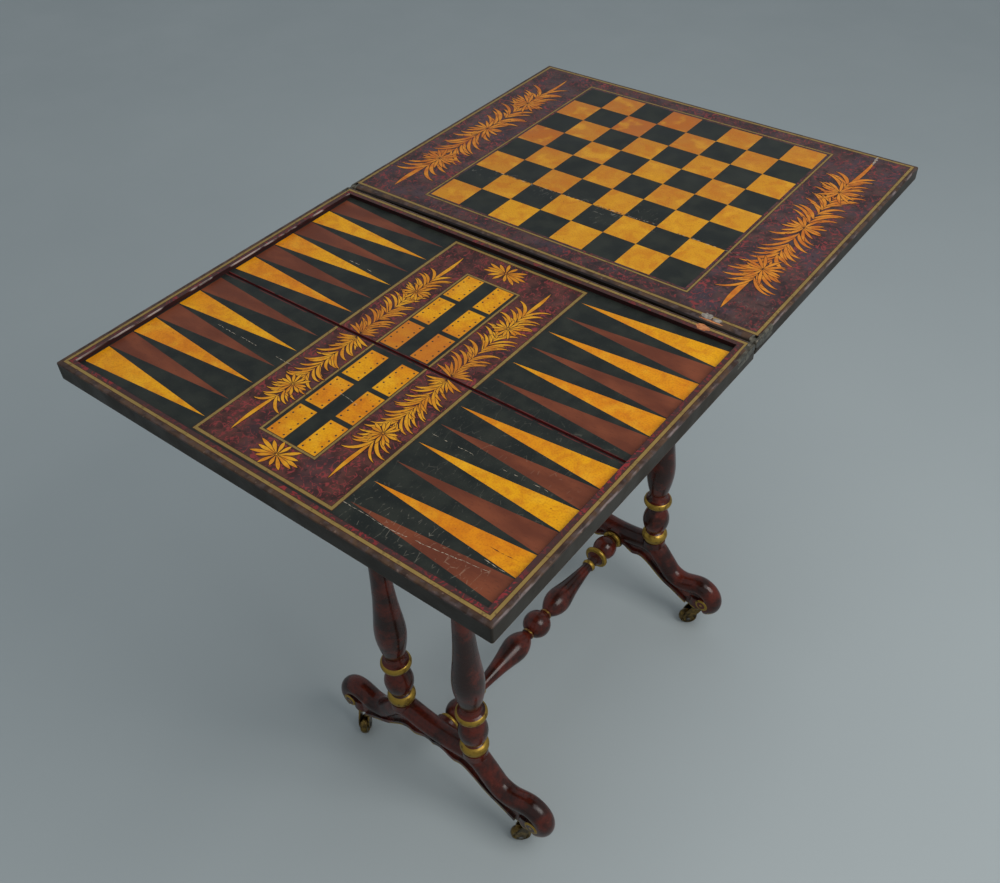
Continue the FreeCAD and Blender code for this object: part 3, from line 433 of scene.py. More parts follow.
def brown_inlay():
    """Brown points with a faint grain along them."""
    p = Paint("brown_inlay")
    body = p.mix(p.blotches(0.02, 0.35, 0.7, detail=4.0, stretch=(0.4, 1, 1)),
                 (92, 46, 30), (114, 60, 38))
    grain = p.blotches(0.0014, 0.55, 0.75, stretch=(0.3, 1, 1))
    body = p.mix(p.times(grain, 0.4), body, (72, 36, 26))
    worn = p.most(scratches(p, at(6.2, -7.6), at(9.7, -6.8), 0.25),
                  scratches(p, at(6.2, -10.1), at(9.7, -9.3), 0.35))
    colour = p.mix(worn, body, (160, 134, 112))
    return lacquer_finish(p, colour, 0.002, 0.08 * MM, 0.03, 0.34, 0.48)


def rim_lacquer():
    """Lippings: brown lacquer outside the gilt line, speckled red between it and the well."""
    p = Paint("rim_lacquer")
    from_side = p.math("SUBTRACT", LEAF_X, p.math("ABSOLUTE", p.x))
    from_outer = p.math("ADD", p.y, LEAF_Y)
    inward = p.math("MINIMUM", p.math("MINIMUM", from_side, from_outer),
                    p.math("MULTIPLY", p.y, -1.0))
    inner = p.ramp(inward, 6.0 * MM, 6.8 * MM)
    specks = p.blotches(0.006, 0.50, 0.60, detail=2.0, warp=1.5)
    patches = p.blotches(0.05, 0.42, 0.62, 0.25, 1.0, detail=2.0, shift=3.0)
    red = p.mix(p.times(specks, patches), (62, 40, 38), (124, 40, 42))
    face = p.mix(inner, border_lacquer(p), red)
    colour, under = leaf_zones(p, LOWER_UNDER, face, stained_wood(p))
    # Painted shade: the inner walls of the lippings above the well floor are made nearly
    # black-brown, for the shade in the recess.
    wall = p.times(p.ramp(inward, RIM - 0.4 * MM, RIM - 0.1 * MM),
                   p.ramp(p.z, WELL_Z - 1 * MM, WELL_Z))
    colour = p.mix(wall, colour, p.mix(p.noise(0.01), (52, 24, 24), (30, 20, 20)))
    # Painted highlight, with some wear: a pale line along the top of the left wall of the well,
    # which faces the light.
    colour = p.mix(rubbed_and_lit_arris(p), colour, (176, 160, 152))
    relief = p.bump(p.noise(0.003, detail=5.0), 0.15 * MM, 0.6)
    rough = p.uneven(0.03, 0.32, 0.50, detail=4.0)
    return p.finish(colour, p.math("MAXIMUM", rough, p.times(under, 0.7)), relief, specular=GLOSS)


def rubbed_and_lit_arris(p):
    """Where the left lipping is pale along the edge of the well, most at its near end: partly
    rubbed wear, partly a painted highlight on the wall that faces the light.
    """
    edge = -LEAF_X + RIM
    line = p.times(p.band(p.x, edge - 1.2 * MM, edge + 0.3 * MM),
                   p.ramp(p.z, TOP_Z - 1.3 * MM, TOP_Z - 0.7 * MM))
    rubbed = p.blotches(0.012, 0.46, 0.60, detail=4.0, stretch=(1, 0.5, 1))
    near = p.ramp(p.y, WELL_LOW.y + 40 * MM, WELL_LOW.y, 0.0, 0.6)
    return p.times(line, p.math("ADD", rubbed, near), p.band(p.y, WELL_LOW.y, WELL_HIGH.y), 0.8)


def ground_board():
    """The board under the panels of the well: bare wood beneath, black above."""
    p = Paint("ground_board")
    top = p.ramp(p.z, LOWER_UNDER + 9 * MM, LOWER_UNDER + 10.5 * MM)
    colour = p.mix(top, stained_wood(p), (24, 20, 20))
    relief = p.bump(p.noise(0.003, detail=5.0, stretch=ALONG_X), 0.3 * MM, 0.5)
    return p.finish(colour, p.uneven(0.02, 0.55, 0.75), relief)


def gilt_line():
    """Dull gold of the ruled lines, rubbed thin in places."""
    p = Paint("gilt_line")
    body = p.mix(p.noise(0.02), (114, 94, 50), (140, 116, 64))
    wear = p.blotches(0.0032, 0.54, 0.72, detail=4.0)
    colour = p.mix(p.times(wear, 0.6), body, (72, 52, 36))
    return p.finish(colour, p.ramp(wear, 0.0, 1.0, 0.42, 0.6), None, specular=GLOSS)


def line_shadow():
    """Dark ruled edge under the gilt lines and the leaves."""
    p = Paint("line_shadow")
    colour = p.mix(p.noise(0.004), (46, 26, 20), (74, 40, 22))
    return p.finish(colour, p.uneven(0.01, 0.35, 0.5), None, specular=GLOSS)


def leaf_gold():
    """Ochre gold of the penwork: orange on the chess leaf, yellower in the well."""
    p = Paint("leaf_gold")
    chess = p.ramp(p.y, -5 * MM, 5 * MM)
    bright = p.mix(chess, (206, 146, 30), (200, 126, 34))
    deep = p.mix(chess, (188, 116, 22), (178, 98, 28))
    body = p.mix(p.blotches(0.012, 0.35, 0.65), bright, deep)
    body = p.mix(p.times(browned(p), 0.5), body, (168, 88, 32))
    veins = p.blotches(0.0022, 0.54, 0.70)
    colour = p.mix(p.times(veins, 0.4), body, (138, 74, 28))
    rough = p.uneven(0.006, 0.36, 0.5)
    return p.finish(colour, rough, None, specular=GLOSS)


# Painted shade: the peg holes are flat dark discs that stand in for the shade inside real holes.
def peg_hole():
    p = Paint("peg_hole")
    colour = p.mix(p.noise(0.001), (40, 26, 14), (62, 40, 20))
    return p.finish(colour, p.uneven(0.002, 0.6, 0.8))


def filler():
    """Pale grey of the chipped ground."""
    return chipped("filler", (112, 104, 98), (146, 138, 128), 0.6, 0.8)


def bare_patch():
    """Orange-brown where the lacquer is lost."""
    return chipped("bare_patch", (150, 84, 44), (178, 114, 66), 0.5, 0.7)


def chipped(name, dark, light, smooth, rough):
    """A dull, grainy ground."""
    p = Paint(name)
    colour = p.mix(p.blotches(0.003, 0.4, 0.6, detail=4.0), dark, light)
    return p.finish(colour, p.uneven(0.004, smooth, rough),
                    p.bump(p.noise(0.0012, detail=4.0), 0.2 * MM))


def scratch_white():
    p = Paint("scratch_white")
    colour = p.mix(p.noise(0.004), (126, 114, 98), (186, 174, 154))
    return p.finish(colour, p.uneven(0.01, 0.6, 0.8))


# ---- materials of the stand ---------------------------------------------------------------------
def red_lacquer(p):
    """Colour of the stand: nearly black, with red-brown wood showing through in clouds."""
    cloud = p.blotches(0.035, 0.40, 0.62, detail=5.0, rough=0.6)
    body = p.mix(cloud, (41, 20, 15), (85, 31, 20))
    streak = p.blotches(0.006, 0.46, 0.70, detail=4.0, warp=0.8)
    body = p.mix(p.times(streak, 0.45), body, (32, 15, 13))
    rub = p.blotches(0.014, 0.62, 0.74, detail=5.0, shift=4.0)
    return p.mix(p.times(rub, 0.4), body, (116, 52, 34))


def stand_finish(name, gilded=None):
    """Lacquer with worn gilding where gilded(p) is 1."""
    p = Paint(name)
    colour, metal = red_lacquer(p), 0.0
    rough = p.uneven(0.03, 0.15, 0.30, detail=4.0)
    if gilded:
        fray = p.times(p.math("SUBTRACT", p.noise(0.003), 0.5), 0.5)
        gold = p.ramp(p.math("ADD", gilded(p), fray), 0.42, 0.58)
        colour = p.mix(gold, colour, gilt_look(p))
        rough = p.math("ADD", rough, p.times(gold, 0.16))
        metal = p.times(gold, 0.75)
    relief = p.bump(p.noise(0.004, detail=4.0), 0.25 * MM, 0.5)
    return p.finish(colour, rough, relief, metallic=metal, specular=STAND_GLOSS)


# The gilding of the stand, in millimetres: the rings of a column by height, those of the stretcher
# from its middle, and the lower edge of a foot and the eye of its scroll, out from its middle and
# up from the floor.
COLUMN_RINGS = ((141, 157), (214, 226), (549.5, 562.5))
WORN_RING, STRETCHER_RINGS = (19.6, 22.8), ((129.2, 135.2), (149.5, 156.5), (192.6, 199.2))
FOOT_EDGE = ((0, 103), (24, 101.5), (34, 97.5), (43, 100), (54, 97), (63, 91), (76, 80), (91, 69),
             (104, 62.5), (115, 56.5), (124, 51), (130, 48), (200, 48))
EYE = (157, 62)


def ring(p, value, low, high):
    """1 where a length lies between two that are given in millimetres."""
    return p.band(value, low * MM, high * MM)


def column_gilding(p):
    return p.most(*(ring(p, p.z, *edges) for edges in COLUMN_RINGS))


def stretcher_gilding(p):
    along = p.math("ABSOLUTE", p.y)
    return p.most(p.times(ring(p, along, *WORN_RING), 0.5),
                  *(ring(p, along, *edges) for edges in STRETCHER_RINGS))


def foot_gilding(p):
    """A broken gilt line along the lower edge, and a gilt scroll on each toe."""
    out = p.math("ABSOLUTE", p.x)
    edge = p.curve(out, [(x * MM, z * MM) for x, z in FOOT_EDGE])
    above = p.math("SUBTRACT", p.z, edge)
    line = p.times(p.band(above, -2 * MM, 2.6 * MM), p.ramp(out, 134 * MM, 128 * MM),
                   p.blotches(0.022, 0.36, 0.46, detail=2.0))
    spot = p.node("ShaderNodeCombineXYZ", {0: out, 1: p.z}).outputs[0]
    away = p.node("ShaderNodeVectorMath", {0: spot, 1: (EYE[0] * MM, EYE[1] * MM, 0)},
                  operation="DISTANCE").outputs["Value"]
    face = p.ramp(p.math("ABSOLUTE", p.math("SUBTRACT", p.math("ABSOLUTE", p.y), FOOT_Y)),
                  13.8 * MM, 14.6 * MM)
    scroll = p.times(p.most(p.band(away, 6.4 * MM, 10.4 * MM), p.ramp(away, 2.6 * MM, 2.0 * MM)),
                     face)
    under = p.times(p.ramp(p.z, 50.5 * MM, 49 * MM), p.ramp(out, 130 * MM, 134 * MM),
                    p.blotches(0.012, 0.42, 0.52, detail=2.0))
    return p.most(line, scroll, under)


def frame_wood():
    """Unlacquered wood of the hidden frame."""
    p = Paint("frame_wood")
    colour = stained_wood(p, ALONG_Y, dark=(64, 40, 28), light=(104, 72, 50))
    relief = p.bump(p.noise(0.004, detail=5.0, stretch=ALONG_Y), 0.3 * MM, 0.5)
    return p.finish(colour, p.uneven(0.02, 0.5, 0.7), relief)


def aged_metal(name, bright, dull, grime, rough=(0.28, 0.5), metallic=1.0):
    """Handled metal: bright where rubbed, dull and grimy elsewhere."""
    p = Paint(name)
    body = p.mix(p.blotches(0.008, 0.35, 0.65, detail=4.0), dull, bright)
    grime_and_hinge_shade = p.blotches(0.004, 0.52, 0.68, detail=5.0, shift=3.0)
    colour = p.mix(p.times(grime_and_hinge_shade, 0.75), body, grime)
    relief = p.bump(p.noise(0.0015, detail=4.0), 0.08 * MM, 0.6)
    return p.finish(colour, p.ramp(grime_and_hinge_shade, 0.0, 1.0, *rough), relief, metallic=metallic)


def baize():
    p = Paint("baize")
    fuzz = p.noise(0.0009)
    colour = p.mix(p.ramp(fuzz, 0.35, 0.65), (36, 66, 42), (58, 92, 60))
    worn = p.blotches(0.03, 0.55, 0.75)
    colour = p.mix(p.times(worn, 0.5), colour, (92, 104, 78))
    return p.finish(colour, p.ramp(fuzz, 0.3, 0.7, 0.85, 0.95), p.bump(fuzz, 0.4 * MM), sheen=0.3)


def add(name, data):
    """A new object in the scene."""
    made = bpy.data.objects.new(name, data)
    bpy.context.scene.collection.objects.link(made)
    return made


# ---- penwork ------------------------------------------------------------------------------------
LINE_W = 2.9 * MM
THIN_LINE_W = 2.0 * MM
LINE_EDGE, WELL_LINE_EDGE = 1.4 * MM, 1.3 * MM      # how much wider a line's dark edge is
LIFT = 0.03 * MM               # how far a painted line stands proud
STEP = 0.012 * MM              # from one layer of paint to the next
RISE = 0.001 * MM              # from one brush stroke to the next
SINK = 0.05 * MM               # how far paint reaches into its ground
OUTLINE = 0.5 * MM             # dark edge round a leaf


class Artwork:
    """Flat painted shapes, gathered into one mesh of thin closed solids."""

    def __init__(self, name, body, z, materials):
        self.name, self.body, self.z, self.materials = name, body, z, materials
        self.corners, self.faces, self.kinds = [], [], []
        self.strokes = 0

    def stroke(self, points, kind):
        """A polygon just above all the strokes before it."""
        self.strokes += 1
        self.shape(points, LIFT + self.strokes * RISE, kind)

    def shape(self, points, height, kind):
        """A closed polygon, from below the ground up to height above it."""
        start, count = len(self.corners), len(points)
        self.corners += [(x, y, self.z + height) for x, y in points]
        self.corners += [(x, y, self.z - SINK) for x, y in points]
        top = [start + k for k in range(count)]
        self.faces += [top, [k + count for k in reversed(top)]]
        self.kinds += [kind] * (count + 2)
        for k in range(count):
            after = (k + 1) % count
            self.faces.append([start + count + k, start + count + after, start + after, start + k])

    def place(self, slot=None):
        """Makes the piece and lets it ride on its body."""
        mesh = bpy.data.meshes.new(self.name)
        mesh.from_pydata(self.corners, [], self.faces)
        piece = add(self.name, mesh)
        for material in self.materials:
            mesh.materials.append(material)
        for face, kind in zip(mesh.polygons, self.kinds):
            face.material_index = kind
        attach(piece, self.body)


def area(points):
    """Area of a polygon, less than 0 where it runs clockwise."""
    pairs = zip(points, points[1:] + points[:1])
    return sum(a[0] * b[1] - b[0] * a[1] for a, b in pairs) / 2


WAVE = 1 / 90                  # length of the wavering of a ruled edge


def ruled_frame(art, low, high, width, height, kind, wobble=0.12 * MM):
    """A ruled rectangle: four mitred strips whose edges waver a little."""
    half = width / 2
    corners = [Vector(q) for q in (low, (high[0], low[1]), high, (low[0], high[1]))]
    for k in range(4):
        here, there = corners[k], corners[(k + 1) % 4]
        along = (there - here).normalized()
        inward = Vector((-along.y, along.x))
        steps = max(4, int((there - here).length / (12 * MM)))
        outer, inner = [], []
        for i in range(steps + 1):
            t = i / steps
            spot = here.lerp(there, t)
            sway = wobble * noise.noise(Vector((*(spot / WAVE), k))) * (0 < i < steps)
            mitre = along * half * ((t == 0.0) - (t == 1.0))
            outer.append(spot - inward * (half + sway) - mitre)
            inner.append(spot + inward * (half + sway) + mitre)
        art.shape([tuple(q) for q in outer + inner[::-1]], height, kind)


def leaf_outline(base, heading, length, width, bend, peak=0.95, grow=0.0, steps=8):
    """A slender leaf that curls to its tip; a higher peak puts its widest place further out."""
    spot, turn = Vector(base), heading
    left, right = [], []
    for k in range(steps + 1):
        t = k / steps
        half = width / 2 * math.sin(math.pi * min(1.0, 0.05 + 0.95 * t) ** peak) ** 0.9 + grow
        side = Vector((-math.sin(turn), math.cos(turn))) * half
        left.append(tuple(spot + side))
        right.append(tuple(spot - side))
        turn += bend * (0.4 + 1.2 * t) / steps
        spot = spot + Vector((math.cos(turn), math.sin(turn))) * length / steps
    return right + left[::-1]


GOLD, SHADOW = 0, 1


def leaf(art, *shape):
    """One leaf: its dark edge, then the gold on it."""
    art.stroke(leaf_outline(*shape, grow=OUTLINE), SHADOW)
    art.stroke(leaf_outline(*shape), GOLD)


def star(art, draw, centre, reach, count=14, width=3.4 * MM):
    """Leaves all round one point, over the others, with a dark eye."""
    art.stroke(disc(centre, reach * 0.45, 16), SHADOW)
    for k in range(count):
        angle = 2 * math.pi * (k + draw.uniform(-0.2, 0.2)) / count
        tall = abs(math.sin(angle))
        leaf(art, centre, angle, reach * draw.uniform(0.8, 1.0) * (1 + 0.25 * tall), width,
             math.copysign(draw.uniform(0.2, 0.5), -math.sin(2 * angle)), 1.2)
    art.stroke(disc(centre, 0.8 * MM), SHADOW)


def frond(art, draw, root, tip, half, pitch, width, inner=0.0):
    """Leaves in pairs up a stem: each leaves it steeply, arches over and droops at its tip."""
    root, tip = Vector(root), Vector(tip)
    stem = tip - root
    heading = math.atan2(stem.y, stem.x)
    count = max(2, round(stem.length / pitch))
    for k in range(count):
        for side in (1, -1):
            spot = root + stem * (k + draw.uniform(0.2, 0.8)) / count
            if draw.random() < inner:
                leaf(art, spot, heading + side * draw.uniform(0.5, 0.9),
                     half * draw.uniform(0.5, 0.75), width * 0.8, side * draw.uniform(0.3, 0.8))
            leaf(art, spot, heading + side * draw.uniform(0.2, 0.5),
                 half * draw.uniform(1.1, 1.5), width * draw.uniform(0.85, 1.2),
                 side * draw.uniform(0.9, 1.4))


def fan(art, draw, root, heading, reach, width, count=9):
    """Leaves that spread from the foot of a stem, the outer ones nearly level."""
    for k in range(count):
        angle = (k - (count - 1) / 2) / (count - 1) * 2.7
        leaf(art, root, heading + angle * 0.8, reach * draw.uniform(0.85, 1.1), width, angle * 0.35)


def blade(art, start, end, width, bend=0.12, peak=0.95):
    """The long bare tip of a stem."""
    start, end = Vector(start), Vector(end)
    along = end - start
    leaf(art, start, math.atan2(along.y, along.x) - bend / 2, along.length, width, bend, peak)


def chess_sprig(name, u, tips, foliage, stars, materials, seed):
    """Foliage both ways from the middle of a stem, with stars on it, all placed in squares."""
    draw = random.Random(seed)
    art = Artwork(name, "upper_leaf", TOP_Z, materials)
    half, width = 0.70 * SQUARE, 4.0 * MM
    droop = 0.72 * half / SQUARE
    for end, way, wide, peak in ((0, -1, 6.0 * MM, 1.5), (1, 1, 4.4 * MM, 0.95)):
        blade(art, at(u, foliage[end] - way * 1.1), at(u + 0.05 * way, tips[end]), wide, 0.22, peak)
        frond(art, draw, at(u, stars[1]), at(u, foliage[end] - way * droop), half, 9.5 * MM, width,
              0.6)
    for v in stars:
        star(art, draw, at(u, v), half * 0.8)
    art.place("penwork_gold")


def daisy(art, draw, centre, wide, deep, width, petals=14):
    """A flower of broad petals that start clear of its eye, every other one shorter."""
    centre = Vector(centre)
    art.stroke(disc(centre, deep * 0.7, 16), SHADOW)
    for k in range(petals):
        angle = 2 * math.pi * k / petals + draw.uniform(-0.07, 0.07)
        way = Vector((math.cos(angle) * wide, math.sin(angle) * deep))
        reach = way.length * draw.uniform(0.94, 1.06) * (0.85 if k % 2 else 1)
        leaf(art, centre + way.normalized() * 1.4 * MM, math.atan2(way.y, way.x), reach, width,
             draw.uniform(-0.15, 0.15), 1.5)
    art.stroke(disc(centre, 0.9 * MM), GOLD)


def disc(centre, radius, count=12):
    turns = [2 * math.pi * k / count for k in range(count)]
    return [(centre[0] + radius * math.cos(t), centre[1] + radius * math.sin(t)) for t in turns]


# Where each plant of the well grows: the edge of its panel at the groove and its way along Y; then,
# in squares, how far to the right its stem is, the end of its foliage, its flower and its tip.
LEFT_PLANTS = ((GROOVE[1], 1, 0.0, -2.72, -3.68, -1.85),
               (GROOVE[0], -1, 0.07, -8.76, -7.93, -9.75))
RIGHT_PLANTS = ((GROOVE[1], 1, 0.0, -2.60, -3.60, -1.90),
                (GROOVE[0], -1, 0.04, -8.70, -7.96, -9.58))


def well_sprig(name, u, plants, half, materials, seed):
    """A narrow plant on each panel of the well, both growing away from the groove."""
    draw = random.Random(seed)
    art = Artwork(name, "lower_leaf", WELL_Z, materials)
    width = 2.9 * MM
    for edge, way, slip, foliage, flower, tip in plants:
        x = at(u + slip, 0)[0]
        root = Vector((x, edge + way * 0.8 * MM))
        top = at(u + slip, foliage) - Vector((0, way * 0.7 * half))
        blade(art, at(u + slip, foliage - way * 0.4), at(u + slip, tip), 4.2 * MM, 0.18)
        fan(art, draw, root, way * math.pi / 2, half * 0.98, width)
        frond(art, draw, root + Vector((0, way * 3 * MM)), top, half, 6.2 * MM, width, 0.5)
        daisy(art, draw, at(u + slip, flower), 15 * MM, 13.8 * MM, 2.7 * MM)
    art.place("penwork_gold")


def corner_daisies(materials):
    """A flower at each end of the scoring board."""
    draw = random.Random(31)
    art = Artwork("well_daisies", "lower_leaf", WELL_Z, materials)
    for u, v in ((3.98, -1.82), (4.07, -9.70)):
        daisy(art, draw, at(u, v), 0.63 * SQUARE, 0.35 * SQUARE, 3.5 * MM)
    art.place("penwork_gold")


def chess_lines(materials):
    """Gilt line round the leaf and a thin one round the board."""
    art = Artwork("chess_gilt_lines", "upper_leaf", TOP_Z, materials)
    for low, high, width in ((CHESS_LINE_LOW, CHESS_LINE_HIGH, LINE_W),
                             (at(-0.09, -0.10), at(8.11, 8.10), THIN_LINE_W)):
        ruled_frame(art, low, high, width + LINE_EDGE, LIFT, SHADOW)
        ruled_frame(art, low, high, width, LIFT + STEP, GOLD)
    art.place("gilt_lines")


def rim_lines(materials):
    """Gilt line on the lippings."""
    art = Artwork("rim_gilt_line", "lower_leaf", TOP_Z, materials)
    ruled_frame(art, RIM_LINE_LOW, RIM_LINE_HIGH, LINE_W + LINE_EDGE, LIFT, SHADOW)
    ruled_frame(art, RIM_LINE_LOW, RIM_LINE_HIGH, LINE_W, LIFT + STEP, GOLD)
    beside_links(art)
    art.place("gilt_lines")


def beside_links(art):
    """Narrows the line at the hinge, clear of the slots in which the links stand when folded."""
    clear, slot_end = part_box("hinge_link_right")[0][0] - 0.2 * MM, -19 * MM
    art.corners = [(max(-clear, min(clear, x)) if y > slot_end else x, y, z)
                   for x, y, z in art.corners]


def split_frame(art, low, high, width, height, kind):
    """A ruled rectangle across both panels, open where it meets the groove."""
    middle = (GROOVE[0] + GROOVE[1]) / 2
    for far_y, near_y in ((high[1], GROOVE[1]), (low[1], GROOVE[0])):
        way = 1 if far_y > middle else -1
        for x in (low[0], high[0]):
            strip = [(x - width / 2, near_y), (x + width / 2, near_y),
                     (x + width / 2, far_y + way * width / 2),
                     (x - width / 2, far_y + way * width / 2)]
            art.shape(strip if area(strip) > 0 else strip[::-1], height, kind)
        bar = [(low[0] + width / 2, far_y - width / 2), (high[0] - width / 2, far_y - width / 2),
               (high[0] - width / 2, far_y + width / 2), (low[0] + width / 2, far_y + width / 2)]
        art.shape(bar, height, kind)


def well_lines(materials):
    """Gilt line round the tortoiseshell and a thin one round the scoring board."""
    art = Artwork("well_gilt_lines", "lower_leaf", WELL_Z, materials)
    for low, high, width in ((PANEL_LOW, PANEL_HIGH, LINE_W), (SCORE_LOW, SCORE_HIGH, THIN_LINE_W)):
        split_frame(art, at(*low), at(*high), width + WELL_LINE_EDGE, LIFT, SHADOW)
        split_frame(art, at(*low), at(*high), width, LIFT + STEP, GOLD)
    art.place("gilt_lines")


def peg_dots(material):
    """Five peg holes along each long edge of a scoring block, as flat dark discs: painted shade in
    place of real holes.
    """
    art = Artwork("cribbage_peg_holes", "lower_leaf", WELL_Z, [material])
    for low, high in painted_blocks():
        for x in (low[0] + 3.2 * MM, high[0] - 3.0 * MM):
            for k in range(5):
                art.shape(disc((x, low[1] + (3.6 + 8.2 * k) * MM), 1.0 * MM, 10), LIFT, 0)
    art.place()


def ragged(centre, wide, deep, seed, count=22):
    """Outline of an irregular patch."""
    draw = random.Random(seed)
    points = []
    for k in range(count):
        angle = 2 * math.pi * k / count
        reach = draw.uniform(0.72, 1.14)
        points.append((centre[0] + wide * reach * math.cos(angle),
                       centre[1] + deep * reach * math.sin(angle)))
    return points


def repairs(pale, brown):
    """Chips on both sides of the hinge line near its right end, and at the tip of a sprig."""
    art = Artwork("chips_upper", "upper_leaf", TOP_Z, [pale, brown])
    art.shape(ragged(at(9.00, -0.68), 6.2 * MM, 4.4 * MM, 3), LIFT + 4 * STEP, 0)
    art.shape(ragged(at(9.27, -0.72), 5.0 * MM, 3.2 * MM, 8), LIFT + 3 * STEP, 0)
    art.shape(ragged(at(9.15, -0.815), 12 * MM, 1.2 * MM, 6), LIFT + 2 * STEP, 1)
    for v, wide in ((8.56, 1.4), (8.44, 2.0), (8.30, 1.5), (8.18, 1.0)):
        art.shape(ragged(at(9.28 - 0.1 * (v - 8.2), v), wide * MM, 2.6 * MM, int(v * 100)),
                  LIFT + 16 * STEP, 0)
    art.place("worn_ground")
    art = Artwork("chips_lower", "lower_leaf", TOP_Z, [pale, brown])
    art.shape(ragged(at(9.12, -1.12), 8.6 * MM, 4.2 * MM, 4), LIFT + 4 * STEP, 1)
    art.place("worn_ground")


def hairline(art, draw, points, cover, width, kind=0, dash=7 * MM):
    """A cracked line in lacquer, in dashes that cover part of its length."""
    for start, end in zip(points, points[1:]):
        start, end = Vector(start), Vector(end)
        along = (end - start).normalized()
        across = Vector((-along.y, along.x))
        done, last = 0.0, start
        while done < (end - start).length:
            done += dash * draw.uniform(0.3, 1.2)
            spot = start + along * done + across * draw.uniform(-0.5, 0.5) * MM
            if draw.random() < cover:
                half = across * width * draw.uniform(0.3, 0.7)
                middle = last.lerp(spot, draw.uniform(0.3, 0.7))
                art.shape([tuple(q) for q in (last, middle - half, spot, middle + half)],
                          LIFT + (2 + kind) * STEP, kind)
            last = spot


# Cracks as points in squares, and how much of their length is pale.
CHESS_CRACKS = (([(0.6, 2.0), (1.0, 1.99), (2.0, 1.97), (3.0, 2.0), (3.9, 2.02)], 0.75),
                ([(3.9, 2.02), (5.2, 2.04), (5.9, 2.10)], 0.8),
                ([(6.6, 2.02), (8.3, 2.0)], 0.4))
WELL_CRACKS = (([(-0.4, -7.40), (0.7, -7.42), (2.0, -7.46)], 0.6),
               ([(3.75, -7.52), (4.25, -7.60)], 1.0),
               ([(6.1, -7.37), (8.0, -7.36), (9.5, -7.32)], 0.4),
               ([(6.11, -9.86), (7.31, -9.87), (8.0, -9.80)], 0.95),
               ([(8.0, -9.80), (8.7, -9.70), (9.42, -9.60)], 0.95),
               ([(9.25, -9.40), (9.6, -9.42)], 1.0),
               ([(0.3, -3.6), (1.1, -3.65)], 0.4))


def cracks(pale, dark):
    """Fine cracks across the boards of both leaves, on the chess board with a dark edge."""
    draw = random.Random(5)
    art = Artwork("cracks_upper", "upper_leaf", TOP_Z, [pale, dark])
    for points, cover in CHESS_CRACKS:
        hairline(art, draw, [at(*q) for q in points], 0.9, 1.2 * MM, 1)
        hairline(art, draw, [at(*q) for q in points], cover, 0.9 * MM)
    art.place("worn_ground")
    art = Artwork("cracks_well", "lower_leaf", WELL_Z, [pale, dark])
    for points, cover in WELL_CRACKS:
        hairline(art, draw, [at(*q) for q in points], cover, 0.5 * MM)
    hairline(art, draw, [at(9.15, -9.10), at(9.62, -9.09)], 1.0, 0.6 * MM, 1, 12 * MM)
    art.place("worn_ground")


# ---- dressing the nodes -------------------------------------------------------------------------
def dress(material, *nodes):
    """Gives whole CAD nodes one material."""
    for name in nodes:
        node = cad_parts[name]
        node.data.materials.clear()
        node.data.materials.append(material)


def dress_all():
    """One material for each kind of node."""
    ends = ("front_left", "front_right", "rear_left", "rear_right")
    column = stand_finish("lacquer_column", column_gilding)
    plain = stand_finish("lacquer_plain")
    dress(column, *(f"column_{end}" for end in ends))
    dress(stand_finish("lacquer_stretcher", stretcher_gilding), "stretcher")
    dress(stand_finish("lacquer_foot", foot_gilding), "foot_front", "foot_rear")
    dress(plain, "bearer_front", "bearer_rear")
    dress(frame_wood(), "rail_left", "rail_right", "pivot_board")
    dress(baize(), "baize_strips")
    brass = aged_metal("aged_brass", (168, 138, 76), (112, 88, 48), (48, 40, 28))
    dark_brass = aged_metal("caster_brass", (128, 104, 56), (66, 54, 36), (26, 23, 20))
    dress(dark_brass, "caster_plates", *(f"caster_fork_{end}" for end in ends),
          *(f"caster_wheel_{end}" for end in ends))
    dress(brass, "pivot_bush")
    steel = aged_metal("dull_steel", (120, 118, 114), (88, 86, 84), (56, 48, 42))
    dress(steel, "caster_screws", "stop_pin", "pivot_plate_screws", "pivot_washer",
          "hinge_pins_lower", "hinge_pins_upper", *(f"caster_axle_{end}" for end in ends))
    dress(aged_metal("wrought_iron", (74, 70, 68), (52, 48, 46), (70, 44, 32), (0.5, 0.7)),
          "pivot_plate", "pivot_nut")
    dress(aged_metal("hinge_metal", (118, 112, 98), (78, 74, 66), (46, 40, 34), (0.4, 0.6), 0.8),
          "hinge_screws_lower", "hinge_screws_upper",
          *(f"hinge_{part}_{hand}" for hand in ("left", "right")
            for part in ("plate_lower", "plate_upper", "link")))
    dress(chess_ground(), "upper_leaf_board", "upper_clamp_left", "upper_clamp_right")
    dress(amber_squares(), "squares_light")
    dress(black_squares(), "squares_dark")
    dress(rim_lacquer(), "rim_left", "rim_right", "rim_outer", "rim_hinge")
    dress(ground_board(), "lower_leaf_board")
    dress(well_ground(), "well_panel_hinge", "well_panel_outer")
    dress(amber_points(), "points_amber")
    dress(amber_blocks(), "cribbage_blocks")
    dress(brown_inlay(), "points_brown")


# ---- floor, light and camera --------------------------------------------------------------------
def floor():
    """A plain grey floor."""
    p = Paint("floor_grey")
    body = p.mix(p.noise(0.6), (156, 164, 166), (164, 172, 173))
    p.finish(body, p.uneven(0.2, 0.55, 0.7))
    mesh = bpy.data.meshes.new("floor")
    reach = 8.0
    mesh.from_pydata([(-reach, -reach, 0), (reach, -reach, 0), (reach, reach, 0),
                      (-reach, reach, 0)], [], [(0, 1, 2, 3)])
    mesh.materials.append(p.material)
    add("floor", mesh)


def lamp(name, spot, aim, power, size, colour=(1, 1, 1)):
    """A square lamp at a spot, aimed at another."""
    light = bpy.data.lights.new(name, "AREA")
    light.energy, light.size, light.color = power, size, colour
    holder = add(name, light)
    holder.location = spot
    holder.rotation_euler = (Vector(aim) - Vector(spot)).to_track_quat("-Z", "Y").to_euler()


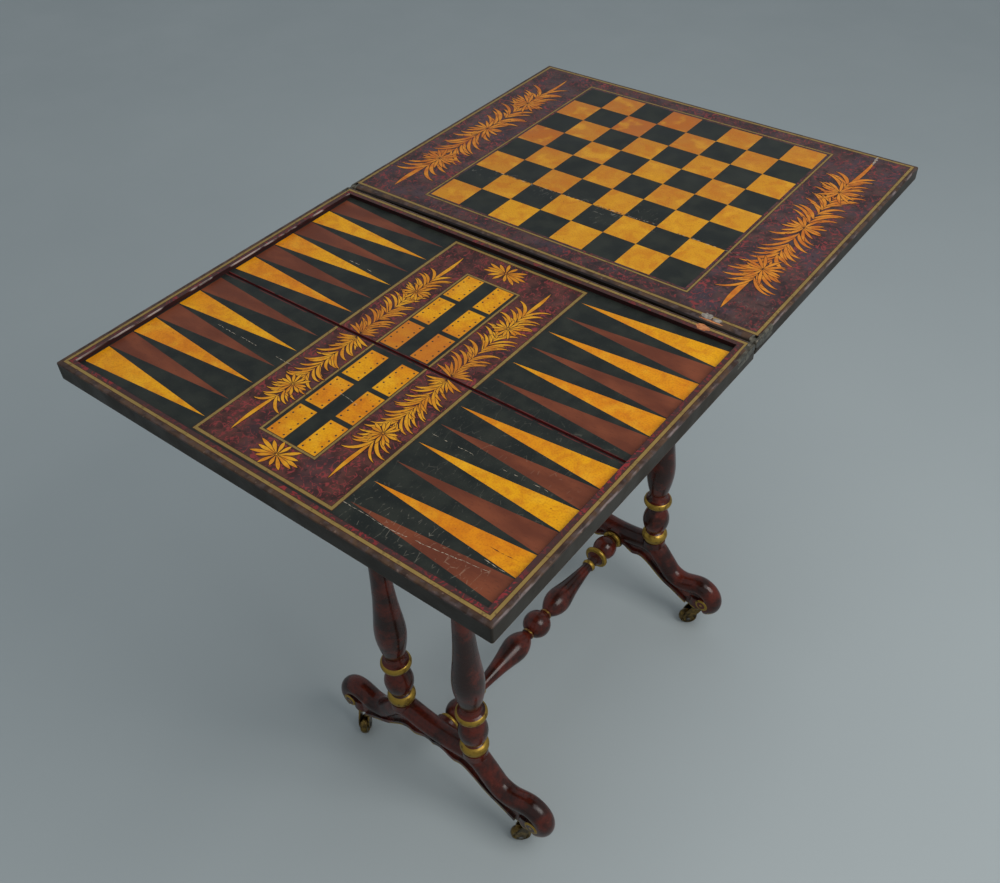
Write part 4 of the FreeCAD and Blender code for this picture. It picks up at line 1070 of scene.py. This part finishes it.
def studio():
    """A pale world and two soft lamps."""
    world = bpy.data.worlds.new("studio")
    world.use_nodes = True
    background = world.node_tree.nodes["Background"]
    background.inputs["Color"].default_value = tone(214, 222, 228)
    background.inputs["Strength"].default_value = 0.56
    bpy.context.scene.world = world
    lamp("window", (1.6, 0.1, 1.9), (0, 0, 0.5), 24, 1.2, (1.0, 0.98, 0.95))
    lamp("ceiling", (0.7, -0.1, 2.8), (0, 0, 0.5), 18, 1.8)


# The camera was solved from the corners of the chess squares and of the leaves.
CAMERA_SPOT = Vector((0.5263, -0.7008, 1.2933))
CAMERA_RIGHT = Vector((0.79248, 0.60882, -0.03632))
CAMERA_FORWARD = Vector((-0.46375, 0.56283, -0.68422))
FOCAL_PIXELS = 1013.9
IMAGE_WIDTH = 1000
SENSOR = 36.0


def camera():
    lens = bpy.data.cameras.new("camera")
    lens.sensor_fit = "HORIZONTAL"
    lens.sensor_width = SENSOR
    lens.lens = FOCAL_PIXELS * SENSOR / IMAGE_WIDTH
    lens.clip_end = 50
    holder = add("camera", lens)
    back = -CAMERA_FORWARD.normalized()
    up = back.cross(CAMERA_RIGHT).normalized()
    right = up.cross(back)
    holder.matrix_world = Matrix.Translation(CAMERA_SPOT) @ Matrix(
        (right, up, back)).transposed().to_4x4()
    bpy.context.scene.camera = holder


# ---- the scene ----------------------------------------------------------------------------------
bpy.context.scene.view_settings.view_transform = "Standard"
dress_all()
shadow = line_shadow()
gold, ruled = [leaf_gold(), shadow], [gilt_line(), shadow]
chess_sprig("sprig_chess_left", -1.11, (-0.20, 8.10), (0.65, 7.30), (1.70, 3.95, 6.00), gold, 11)
chess_sprig("sprig_chess_right", 9.16, (-0.22, 8.58), (0.63, 7.40), (1.76, 4.05, 6.22), gold, 12)
well_sprig("sprig_well_left", 2.64, LEFT_PLANTS, 19.2 * MM, gold, 21)
well_sprig("sprig_well_right", 5.40, RIGHT_PLANTS, 21.2 * MM, gold, 22)
corner_daisies(gold)
chess_lines(ruled)
rim_lines(ruled)
well_lines(ruled)
peg_dots(peg_hole())
repairs(filler(), bare_patch())
cracks(scratch_white(), shadow)
floor()
studio()
camera()
